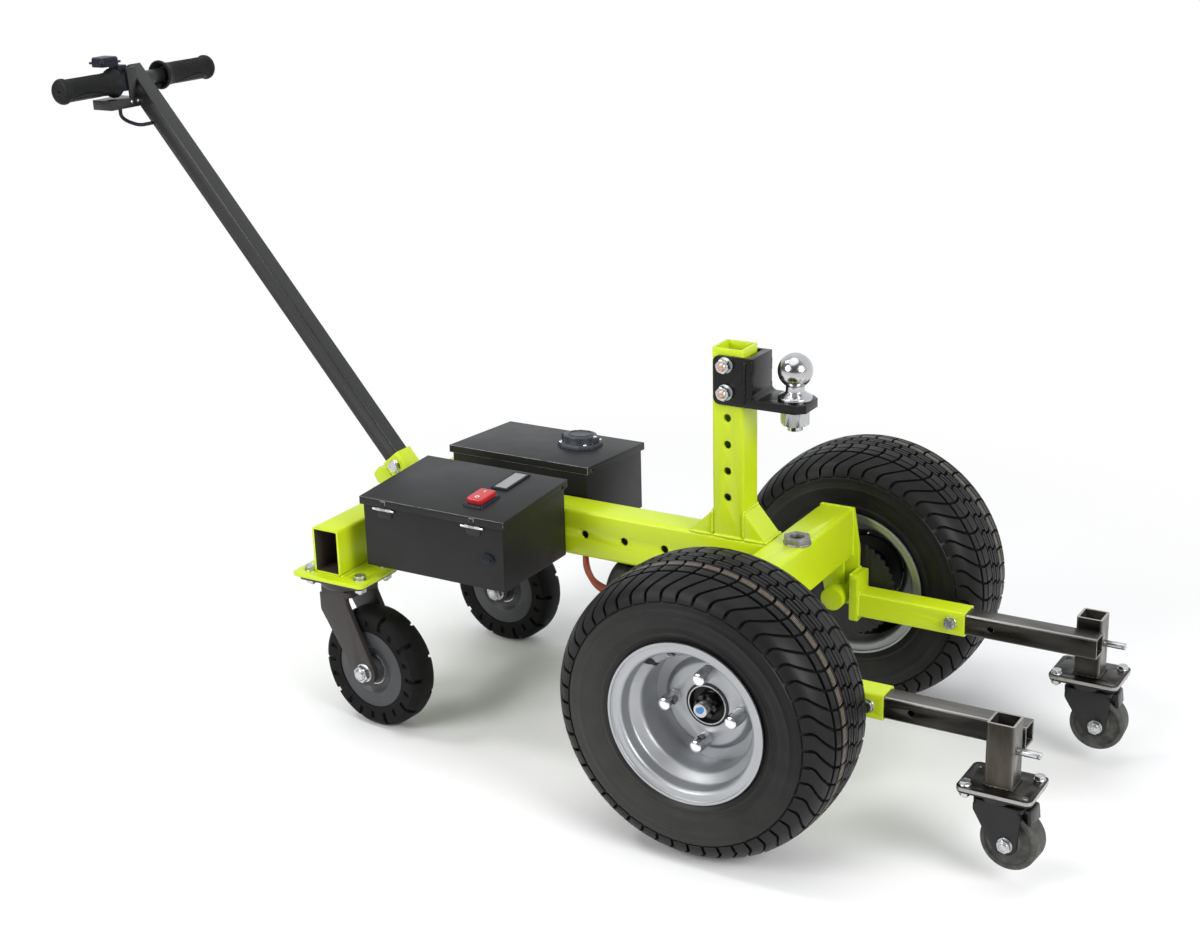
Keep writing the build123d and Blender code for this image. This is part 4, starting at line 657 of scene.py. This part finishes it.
rubber = Finish("tyre_rubber", {"Specular IOR Level": 0.2})
tyre_x = rubber.axis("X") - axle_x
tyre_y = abs(rubber.axis("Y")) - wheel_y
tyre_z = rubber.axis("Z") - wheel_z
tyre_r = (tyre_x * tyre_x + tyre_z * tyre_z) ** 0.5
in_groove = rubber.tag("groove_floor")
tan_middle, tan_apart, tan_half = 0.0256, 0.0028, 0.0005
tan_lines = abs(tyre_y - tan_middle) < tan_half
for line_at in (tan_middle - tan_apart, tan_middle + tan_apart):
    tan_lines = tan_lines + (abs(tyre_y - line_at) < tan_half)
crown_from, wall_to = 0.2055, 0.1735
wear_and_highlight = rubber.noise(26, 4)
tread_skin = rubber.blend(wear_and_highlight, (0.005, 0.005, 0.005), (0.013, 0.013, 0.0125))
# Painted sheen: the sidewall's colour is lighter towards the wheel's lower rear, as if lit from there.
painted_sheen = rubber.step(wear_and_highlight * 0.16 - 0.8 * tyre_x - 0.6 * tyre_z, -0.06, 0.24)
wall_skin = rubber.blend(painted_sheen, (0.006, 0.006, 0.006), (0.036, 0.036, 0.033))
rubber_skin = rubber.blend(tyre_r < wall_to, tread_skin, wall_skin)
# Painted shade: the groove floors between the blocks are coloured near black.
rubber_skin = rubber.blend(in_groove, rubber_skin, (0.0015, 0.0015, 0.0015))
tan_mask = tan_lines * (tyre_r > crown_from) * rubber.step(rubber.noise(160, 2), 0.15, 0.45)
rubber.set("Base Color", rubber.blend(tan_mask, rubber_skin, (0.24, 0.195, 0.135)))
rubber.set("Roughness", 0.32 + 0.24 * rubber.noise(18, 3) + 0.4 * in_groove)
rib_rate, rib_height = 3300, 6
low_ribs, low_half, high_ribs, high_half = 0.1335, 0.0042, 0.1635, 0.0029
wall_ribs = rubber.node("ShaderNodeMath", {"operation": "SINE"}, {0: tyre_r * rib_rate})
rib_bands = (abs(tyre_r - low_ribs) < low_half) + (abs(tyre_r - high_ribs) < high_half)
grain = rubber.noise(1100, 2) + 0.5 * rubber.noise(200, 2)
rubber.bump(grain + rib_height * wall_ribs * rib_bands, 0.00012, 0.4)
for side, sign in (("left", 1), ("right", -1)):
    whole = bmesh.new()
    for source in (carcass, blocks):
        part = bpy.data.meshes.new("tyre_part")
        source.to_mesh(part)
        whole.from_mesh(part)
        bpy.data.meshes.remove(part)
    if sign > 0:
        bmesh.ops.rotate(whole, cent=(0, 0, 0), matrix=Matrix.Rotation(math.pi, 3, "Z"), verts=whole.verts)
    bmesh.ops.translate(whole, vec=(axle_x, sign * wheel_y, wheel_z), verts=whole.verts)
    tyre = settle(whole, "tyre_tread_" + side, rubber, "wheel_" + side, 40)
    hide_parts("tyre_" + side)
carcass.free()
blocks.free()

# The caster axles: plated bolts through each fork with a locking nut, whose rounded collar holds a
# nylon ring, and a plain washer against the fork at both ends.
rear_axle, front_axle = (54, 96, 37, 16, 24, 13), (18, 70, 25.5, 10, 17, 8)
rear_yaw_right, rear_yaw_left, front_yaw_right, front_yaw_left = -5, -2, -5, 3
caster_axles = (
    # node, swivel's place and yaw, then trail, height, reach, bolt, across flats and nut height
    ("rear_axle_right", (rear_x, -rear_y), rear_yaw_right, rear_axle),
    ("rear_axle_left", (rear_x, rear_y), rear_yaw_left, rear_axle),
    ("front_axle_right", (front_x, -front_y), front_yaw_right, front_axle),
    ("front_axle_left", (front_x, front_y), front_yaw_left, front_axle),
)
for node, (swivel_x, swivel_y), yaw, (trail, height, reach, thick, flats, nut) in caster_axles:
    axle = bmesh.new()
    heading = Matrix.Rotation(math.radians(yaw), 3, "Z")
    half, bore = flats / 2, thick / 2
    for out in (-1, 1):
        place = heading @ Vector((trail, out * reach, 0))
        rings = [(-reach, 0), (-reach, bore), (0, bore)]
        rings += [(0, half * 1.24), (0.8, half * 1.24), (1, half * 1.2)]
        rings += [(1, half * 1.08, flats), (2, half * 1.2, flats)]
        rings += [(nut * 0.7, half * 1.2, flats), (nut * 0.77, half, flats)]
        if out < 0:
            rings += [(nut * 0.79, half * 0.84), (nut * 0.94, half * 0.82), (nut, half * 0.72)]
            rings += [(nut, bore * 1.12), (nut * 0.8, bore * 1.1), (nut * 0.8, bore), (nut, bore)]
            rings += [(nut * 1.05, bore * 0.85), (nut * 1.05, 0)]
        else:
            rings += [(nut * 0.77, half * 0.6), (nut * 0.74, 0)]
        at = spot(swivel_x + place.x, swivel_y + place.y, height)
        turn_rings(axle, rings, at, heading @ Vector((0, out, 0)))
    fit(axle, node + "_bolt", zinc, body_of[node], node=node)

# The rear casters: a bolted top plate with a ball race, a fork of bent plate in dark paint, and a
# solid notched rubber tyre on a cast core.
fork_paint = Finish("dark_fork_paint", {"Specular IOR Level": 0.35, "Coat Weight": 0.08})
fork_paint.mottle(20, 3, (0.022, 0.018, 0.017), (0.036, 0.03, 0.028))
fork_paint.rough(0.34, 0.16, 70, 3)
fork_paint.grain(600, 2, 0.0001, 0.3)
caster_rubber = Finish("caster_rubber", {"Specular IOR Level": 0.15})
caster_rubber.mottle(40, 4, (0.003, 0.003, 0.003), (0.008, 0.008, 0.0077))
caster_rubber.rough(0.55, 0.2, 50, 3)
caster_rubber.grain(900, 3, 0.00012, 0.4)
core_paint = Finish("grey_core_paint", {})
core_paint.mottle(30, 3, (0.03, 0.032, 0.036), (0.055, 0.058, 0.064))
core_paint.rough(0.4, 0.15, 80, 2)
dress("rear_caster_plates", fork_paint, 0.001)
for side in ("left", "right"):
    dress("rear_fork_" + side, fork_paint, 0.0018, 3)
    dress("rear_tyre_" + side, caster_rubber, 0.0012)
    dress("rear_core_" + side, core_paint, 0.0012)
seal_rings, seal_out = [(0, 24.2), (0.7, 24.4), (0.9, 25.6), (0, 26)], 17.1
trail, height = rear_axle[:2]
for side, swivel_y, yaw in (("right", -rear_y, rear_yaw_right), ("left", rear_y, rear_yaw_left)):
    seal = bmesh.new()
    heading = Matrix.Rotation(math.radians(yaw), 3, "Z")
    for out in (-1, 1):
        place = heading @ Vector((trail, out * seal_out, 0))
        at = spot(rear_x + place.x, swivel_y + place.y, height)
        turn_rings(seal, seal_rings, at, heading @ Vector((0, out, 0)), 64)
    fit(seal, "rear_bearing_rings_" + side, zinc, "rear_roller_" + side)

# The front arms: bare square tube slid into the sleeves, each with an upright socket welded to its
# side and a foot plate. Mill scale and handling marks show on the bare steel. The tops and front faces
# are painted light, a lighter copy of the steel's colour than the sides, and the bright edges are wear
# with a painted highlight.
steel = Finish("bare_steel", {"Metallic": 0.92})
streak = steel.noise(30, 4, (0.25, 1, 1))
scale_skin = steel.noise(110, 4)
upright = steel.noise(30, 4, (1, 1, 0.25))
socket_back, socket_in, socket_from = axle_x + 0.363, 0.1718, 0.147
at_socket = (steel.axis("X") > socket_back) * (abs(steel.axis("Y")) > socket_in)
streak = steel.node("ShaderNodeMix", {}, {0: at_socket, 2: streak, 3: upright})
streak = steel.step(streak, 0.35, 0.7)
shaded_face_skin = steel.blend(streak, (0.016, 0.0155, 0.0145), (0.07, 0.064, 0.055))
socket_skin = steel.blend(streak, (0.03, 0.027, 0.023), (0.125, 0.112, 0.093))
on_socket = at_socket * (steel.axis("Z") > socket_from)
shaded_face_skin = steel.blend(on_socket, shaded_face_skin, socket_skin)
# Painted light: faces turned forwards or up take this lighter copy of the steel's colour, the sides the
# darker one.
lit_face_skin = steel.blend(streak, (0.1, 0.096, 0.09), (0.21, 0.2, 0.185))
steel_skin = steel.blend(steel.tag("lit_face"), shaded_face_skin, lit_face_skin)
# Bright edges: real wear on the bare steel's edges, with a painted highlight.
painted_highlight = steel.tag("wear_and_highlight") * steel.step(steel.noise(70, 3), 0.2, 0.4)
steel.set("Base Color", steel.blend(painted_highlight, steel_skin, (0.85, 0.83, 0.8)))
steel.set("Roughness", 0.2 + 0.24 * scale_skin)
steel.bump(scale_skin, 0.00015, 0.3)
arms = dress("front_arms", steel, 0.0017)
lit_face = arms.data.attributes.new("lit_face", "FLOAT", "FACE")
wear_and_highlight = arms.data.attributes["wear_and_highlight"]
arm_mid_z, socket_top, foot_low, foot_high, long_edge = 0.18, 0.2235, 0.1395, 0.1455, 0.025
top_wear_and_highlight, low_wear, cut_wear = 0.28, 0.07, 0.4
for face in arms.data.polygons:
    side, middle = face.normal, face.center
    # painted light: faces turned forwards, and the tops above the arm's middle, are tagged for the lighter
    # colour
    lit_face.data[face.index].value = float(side.x > 0.7 or (side.z > 0.7 and middle.z > arm_mid_z))
    corners = [arms.data.vertices[v].co for v in face.vertices]
    long = max((a - b).length for a in corners for b in corners) > long_edge
    round_corner = long and sum(abs(x) > 0.15 for x in side) == 2
    cut_end = side.z > 0.9 and middle.z > socket_top
    sheared = abs(side.z) < 0.3 and foot_low < middle.z < foot_high
    # the upper rounded corners are brighter than the lower ones: a painted highlight over the wear
    if round_corner:
        wear_and_highlight.data[face.index].value = top_wear_and_highlight if side.z > 0.15 else low_wear
    elif cut_end or sheared:
        wear_and_highlight.data[face.index].value = cut_wear
socket_half, socket_bead_z, socket_bead_r = 19, 145.4, 0.0027
socket_beads = bmesh.new()
for sign in (-1, 1):
    corners = []
    for dx, dy in ((-1, -1), (1, -1), (1, 1), (-1, 1)):
        x, y = front_x + dx * socket_half, sign * front_y + dy * socket_half
        corners.append(spot(x, y, socket_bead_z))
    for k, (start, end) in enumerate(zip(corners, corners[1:] + corners[:1])):
        across = (end - start).cross(Vector((0, 0, 1)))
        bead(socket_beads, start, end, across, socket_bead_r, 2.1 * k + sign)
fit(socket_beads, "socket_welds", steel, "chassis", 60)

# The front casters: pressed forks in satin black under a bolted plate, with a small hard wheel each
# and a plated race ring under the plate.
satin = Finish("satin_black_paint", {"Specular IOR Level": 0.34})
satin.mottle(25, 3, (0.005, 0.005, 0.0052), (0.012, 0.012, 0.0125))
satin.rough(0.24, 0.14, 60, 3)
satin.grain(500, 2, 0.00012, 0.3)
hard_wheel = Finish("hard_wheel_nylon", {"Specular IOR Level": 0.3})
scuffs = hard_wheel.step(hard_wheel.noise(90, 4), 0.35, 0.65)
hard_wheel.set("Base Color", hard_wheel.blend(scuffs, (0.037, 0.037, 0.034), (0.085, 0.083, 0.075)))
hard_wheel.set("Roughness", 0.5 + 0.2 * scuffs)
hard_wheel.grain(700, 3, 0.0001, 0.4)
dress("front_caster_plates", satin, 0.0008)
for side in ("left", "right"):
    dress("front_fork_" + side, satin, 0.0012)
    dress("front_wheel_" + side, hard_wheel, 0.0012)
race_rings, race_z = [(0, 28), (0, 29.1), (0.4, 29.5), (2.2, 29.5), (2.6, 29.1), (2.6, 28)], 133.8
races = bmesh.new()
for sign in (-1, 1):
    turn_rings(races, race_rings, spot(front_x, sign * front_y, race_z), (0, 0, 1), 64)
fit(races, "front_race_rings", zinc, "chassis")

# The battery boxes: folded sheet steel with lids hinged on the outer faces, in fine textured dark
# powder coat.
box_coat = Finish("textured_box_coat", {"Specular IOR Level": 0.22})
box_skin = box_coat.blend(box_coat.noise(14, 3), (0.01, 0.01, 0.0102), (0.017, 0.017, 0.0174))
# Painted highlight: a pale line along the lids' rounded top edges that face the near side, and along the
# tops of the hinge knuckles.
near_side, far_side, far_half, lid_from = -0.2055, 0.0305, 0.0025, 0.374
lid_edge_highlight = (box_coat.axis("Y") < near_side) + (abs(box_coat.axis("Y") - far_side) < far_half)
lid_edge_highlight = lid_edge_highlight * box_coat.tag("wear_and_highlight") * (box_coat.axis("Z") > lid_from)
knuckle_z, knuckle_half, knuckle_out = 0.3671, 0.0018, 0.2062
knuckle = abs(box_coat.axis("Z") - knuckle_z) < knuckle_half
knuckle = knuckle * (abs(box_coat.axis("Y")) > knuckle_out)
painted_highlight = 0.75 * lid_edge_highlight * box_coat.step(box_coat.noise(60, 3), 0.2, 0.45) + 0.6 * knuckle
box_coat.set("Base Color", box_coat.blend(painted_highlight, box_skin, (0.5, 0.5, 0.51)))
box_coat.rough(0.36, 0.12, 24, 3)
box_coat.grain(1700, 2, 0.00012, 0.45)
for node in ("box_bodies", "box_lid_left", "box_lid_right"):
    dress(node, box_coat, 0.001, 3)
# Painted highlight: the hinges' barrels are coloured pale along a thin band at their tops.
hinge_coat = Finish("hinge_coat_highlighted", {"Specular IOR Level": 0.3})
barrel = abs(hinge_coat.axis("Z") - knuckle_z) < knuckle_half
barrel = barrel * (abs(hinge_coat.axis("Y")) > knuckle_out)
painted_highlight = 0.8 * barrel * hinge_coat.step(hinge_coat.noise(260, 2), 0.2, 0.45)
hinge_coat.set("Base Color", hinge_coat.blend(painted_highlight, (0.012, 0.012, 0.0125), (0.55, 0.55, 0.56)))
hinge_coat.rough(0.3, 0.14, 40, 3)
dress("box_hinges", hinge_coat, 0.0005)
pin_rings = [(12.8, 0), (12.8, 1.7), (19.2, 1.7), (19.8, 1.2), (19.8, 0)]
hinge_y, hinge_z = 208, 366.3
pins = bmesh.new()
for sign in (-1, 1):
    for hinge_x in (-584, -424):
        for end in (-1, 1):
            turn_rings(pins, pin_rings, spot(hinge_x, sign * hinge_y, hinge_z), (end, 0, 0), 24)
fit(pins, "hinge_pin_ends", zinc, "chassis")

# The fittings on the lids: a rocker switch in a bezel and a meter on one, a capped inlet on the
# other, and a small turning catch on the near box.
panel = Finish("panel_plastic", {"Specular IOR Level": 0.2})
panel.mottle(50, 2, (0.006, 0.009, 0.015), (0.012, 0.017, 0.026))
panel.rough(0.3, 0.15, 300, 2)
red_plastic = Finish("red_switch_plastic", {"Coat Weight": 0.08})
red_plastic.mottle(60, 2, (0.44, 0.01, 0.016), (0.52, 0.014, 0.022))
red_plastic.rough(0.2, 0.1, 200, 2)
cap_plastic = Finish("inlet_cap_plastic", {})
cap_plastic.mottle(50, 2, (0.028, 0.034, 0.043), (0.046, 0.053, 0.064))
cap_plastic.rough(0.36, 0.15, 300, 2)
dress("charge_inlet", cap_plastic, 0.0012)
for node in ("lid_panels", "box_knob"):
    dress(node, panel, 0.0012)
dress("rocker", red_plastic, 0.0008, 3)
lid_low, lid_rise, lid_width = 382, 11, 178.5
lid_tilt = math.atan2(lid_rise, lid_width)


def on_lid(x, y, sign):
    """The lid's own frame at that place, Z standing off its sloping top."""
    height = lid_low + (hinge_y - y) * math.tan(lid_tilt)
    return Matrix.Translation(spot(x, sign * y, height)) @ Matrix.Rotation(-sign * lid_tilt, 4, "X")


mark_paint = Finish("white_mark_print", {"Roughness": 0.5})
mark_paint.mottle(400, 2, (0.75, 0.72, 0.7), (0.85, 0.83, 0.82))
mark_off, mark_width, stroke_length, loop_r, rocker_z = 0.0105, 0.0013, 0.0066, 0.0022, 0.01205
marks = bmesh.new()
rocker_top = on_lid(-443, 152, -1) @ Matrix.Translation((0, 0, rocker_z))
stroke = bmesh.ops.create_grid(marks, x_segments=2, y_segments=2, size=0.5)["verts"]
bmesh.ops.scale(marks, vec=(mark_width, stroke_length, 1), verts=stroke)
bmesh.ops.translate(marks, vec=(0, mark_off, 0), verts=stroke)
loop = bmesh.ops.create_grid(marks, x_segments=40, y_segments=1, size=0.5)["verts"]
for v in loop:
    angle = (v.co.x + 0.5) * math.tau
    reach = loop_r + mark_width * (v.co.y + 0.5)
    v.co = Vector((reach * math.cos(angle), -mark_off + reach * math.sin(angle), 0))
bmesh.ops.transform(marks, matrix=rocker_top, verts=marks.verts)
bmesh.ops.remove_doubles(marks, verts=marks.verts, dist=1e-6)
bmesh.ops.solidify(marks, geom=marks.faces[:], thickness=-0.0002)
fit(marks, "rocker_marks", mark_paint, "lid_right")

# The meter's window: a grey pane of clear-coated plastic over an unlit display, set in the panel
# beside the switch.
pane_glass = Finish("meter_pane", {"Coat Weight": 0.6, "Coat Roughness": 0.05})
pane_glass.mottle(60, 2, (0.18, 0.185, 0.18), (0.25, 0.255, 0.25))
pane_glass.rough(0.25, 0.1, 200, 2)
pane = bmesh.new()
bmesh.ops.create_grid(pane, x_segments=4, y_segments=8, size=0.5)
pane_width, pane_length, pane_thick, pane_z = 0.0218, 0.0598, 0.0006, 0.0021
bmesh.ops.scale(pane, vec=(pane_width, pane_length, 1), verts=pane.verts)
pane_place = on_lid(-444, 71, -1) @ Matrix.Translation((0, 0, pane_z))
bmesh.ops.transform(pane, matrix=pane_place, verts=pane.verts)
bmesh.ops.solidify(pane, geom=pane.faces[:], thickness=pane_thick)
fit(pane, "meter_window", pane_glass, "lid_right")

# The inlet's four pan head screws, each with a small socket in its head, and the screw of its cap's
# latch, all of chromed steel.
inlet_at = on_lid(-450, 142, 1)
pan_rings = [(0, 0), (0, 3.6), (0.9, 3.5), (1.9, 2.6), (2.3, 1.2), (1.7, 0.9), (1.7, 0)]
latch_rings = [(0, 0), (0, 3), (1, 2.9), (1.8, 2), (1.9, 0)]
screw_off, screw_z, latch_off, latch_z = 0.0225, 0.006, 0.0275, 0.016
off_lid = (0, math.sin(lid_tilt), math.cos(lid_tilt))
screws = bmesh.new()
for dx in (-screw_off, screw_off):
    for dy in (-screw_off, screw_off):
        turn_rings(screws, pan_rings, inlet_at @ Vector((dx, dy, screw_z)), off_lid, 24)
turn_rings(screws, latch_rings, inlet_at @ Vector((latch_off, 0, latch_z)), (0, 0, 1), 24)
fit(screws, "inlet_screws", chrome, "lid_left")

# The handle: square tube and a round crossbar in satin black, with rubber grips, a switch and its
# box, and the lead that joins them.
grip_rubber = Finish("grip_rubber", {"Specular IOR Level": 0.18})
grip_skin = grip_rubber.blend(grip_rubber.noise(40, 3), (0.006, 0.0062, 0.0066), (0.011, 0.0113, 0.012))
# Painted shade: the grips' sunk seams and rib hollows are coloured near black.
grip_rubber.set("Base Color", grip_rubber.blend(grip_rubber.tag("sunk"), grip_skin, (0.002, 0.002, 0.002)))
grip_rubber.rough(0.45, 0.15, 90, 2)
grip_rubber.grain(1300, 2, 0.00006, 0.4)
handle_coat = Finish("handle_powder_coat", {"Specular IOR Level": 0.45})
handle_coat.mottle(25, 3, (0.012, 0.012, 0.0123), (0.021, 0.021, 0.0214))
handle_coat.rough(0.26, 0.14, 60, 3)
handle_coat.grain(500, 2, 0.00012, 0.3)
for node in ("handle_tube", "handlebar", "control_box"):
    dress(node, handle_coat, 0.0012)
bar_x, bar_z = -1198.09, 951.71
body_from, body_to, body_r = 159, 79, 18
ribs, seam_half, line_half, raised_by, sunk_by = 40, 0.9, 0.8, 0.2, 1.2
# the grip's outline as radius and distance from the handle's middle: end cap, body, then flange
grip_line = [(0, 168.2), (2, 168.2), (2, 171.4), (2.6, 172), (13.5, 172), (16.2, 171.5), (18.5, 169.9)]
grip_line += [(20, 167.6), (20.5, 165), (20.5, 163.2), (20.1, 162.4), (19.2, 161.6), (18.2, 160.6)]
grip_line += [(17.7, 159.6)]
grip_line += [(body_r, body_from - (body_from - body_to) * k / 64) for k in range(65)]
grip_line += [(17.5, 78), (17.5, 77), (18.2, 76), (18.5, 74), (18, 72.6), (18.2, 71.5), (18.6, 69)]
grip_line += [(19.4, 65), (20.6, 61.5), (22.2, 58.6), (23.5, 57), (24, 55.4), (23.9, 53.4), (23.2, 52.1)]
grip_line += [(21.2, 52), (20.6, 52.8), (18, 57.5), (14.6, 62.5), (13.4, 65), (11.3, 65)]
grips = bmesh.new()
sunk_tag = grips.verts.layers.float.new("sunk")
for sign in (-1, 1):
    made = bmesh.ops.create_grid(grips, x_segments=120, y_segments=len(grip_line) - 1, size=0.5)["verts"]
    for v in made:
        angle = (v.co.x + 0.5) * math.tau
        radius, along = grip_line[round((v.co.y + 0.5) * (len(grip_line) - 1))]
        share = (body_from - along) / (body_from - body_to)
        if 0.02 < share < 0.98 and radius == body_r:
            edge = 0.78 * math.sin(math.pi * share**0.75) ** 0.7
            apart = (angle - 0.5) % math.pi - math.pi / 2
            from_edge = (abs(apart) - edge) * body_r
            sunk = 0
            if abs(from_edge) < seam_half:
                sunk = 1
            elif from_edge > 0:
                sunk = 0.6 * (1 + math.cos(angle * ribs)) / 2
            elif abs(abs(apart) - 0.45 * edge) * body_r < line_half and 0.15 < share < 0.8:
                sunk = 0.9
            radius += raised_by - sunk_by * sunk
            v[sunk_tag] = sunk
        v.co = spot(bar_x + radius * math.cos(angle), sign * along, bar_z + radius * math.sin(angle))
    bmesh.ops.remove_doubles(grips, verts=made, dist=1e-6)
fit(grips, "moulded_grips", grip_rubber, "chassis", 45, "grips")
screw_rings = [(0, 0), (0, 3), (1, 2.9), (1.7, 2.1), (1.9, 1), (1.4, 0.8), (1.4, 0)]
box_face_x, box_screw_z = bar_x + 16, bar_z - 32
box_screws = bmesh.new()
for y in (-32, -17.5):
    turn_rings(box_screws, screw_rings, spot(box_face_x, y, box_screw_z), (1, 0, 0), 24)
fit(box_screws, "control_screws", zinc, "chassis")
dress("thumb_switch", panel, 0.001)
dress("handle_lead", panel, 0)

# The tow ball, turned and chromed, and its bracket: thick plate welded at the corners and painted
# in gloss black.
ball_chrome = Finish("ball_chrome", {"Metallic": 1.0})
ball_chrome.mottle(70, 4, (0.5, 0.5, 0.51), (0.6, 0.6, 0.61))
ball_chrome.rough(0.15, 0.1, 160, 3)
ball_chrome.grain(260, 2, 0.00004, 0.25)
dress("tow_ball", ball_chrome, 0.0008)
gloss = Finish(
    "gloss_black_paint", {"Specular IOR Level": 0.22, "Coat Weight": 0.14, "Coat Roughness": 0.1}
)
gloss.mottle(30, 3, (0.002, 0.002, 0.0021), (0.005, 0.005, 0.0052))
gloss.rough(0.2, 0.14, 60, 3)
gloss.bump(gloss.noise(130, 3) + 0.3 * gloss.noise(700, 2), 0.00025, 0.35)
dress("ball_bracket", gloss, 0.0014, 3)
bracket_runs = (
    # along, aside, foot and top in millimetres, the bead's radius, and its seed
    (-69, bracket_y, 552, 616, 0.0028, 0),
    (-58, 31, 560, 617, 0.0022, 2),
)
bracket_beads = bmesh.new()
for sign in (-1, 1):
    for x, y, foot, top, radius, seed in bracket_runs:
        bead(bracket_beads, spot(x, sign * y, foot), spot(x, sign * y, top), (1, 0, 0), radius, seed + sign)
fit(bracket_beads, "bracket_welds", gloss, "chassis", 60)

# The floor: a pale matt sheet that fades to plain white away from the dolly. It belongs to the studio
# and not to the dolly.
floor_paint = Finish(
    "floor_paint", {"Base Color": (0.92, 0.92, 0.92), "Roughness": 0.9, "Specular IOR Level": 0.1}
)
fade_from, fade_to, floor_half, floor_z = 0.7, 1.7, 14, -0.0006
reach = floor_paint.node("ShaderNodeVectorMath", {"operation": "LENGTH"}, {0: floor_paint.place}, "Value")
fade_way = {"interpolation_type": "SMOOTHSTEP"}
fade = floor_paint.node("ShaderNodeMapRange", fade_way, {0: reach, 1: fade_from, 2: fade_to})
white = floor_paint.node("ShaderNodeEmission", {}, {"Color": (1, 1, 1)})
shaded = Value(floor_paint, floor_paint.shader.outputs[0])
mixed = floor_paint.node("ShaderNodeMixShader", {}, {0: fade, 1: shaded, 2: white})
floor_paint.feed(floor_paint.tree.nodes["Material Output"], {"Surface": mixed})
floor_data = bpy.data.meshes.new("floor")
corners = [(floor_half * x, floor_half * y, floor_z) for x, y in ((-1, -1), (1, -1), (1, 1), (-1, 1))]
floor_data.from_pydata(corners, [], [(0, 1, 2, 3)])
floor_data.materials.append(floor_paint.material)
floor = bpy.data.objects.new("floor", floor_data)
studio.collection.objects.link(floor)
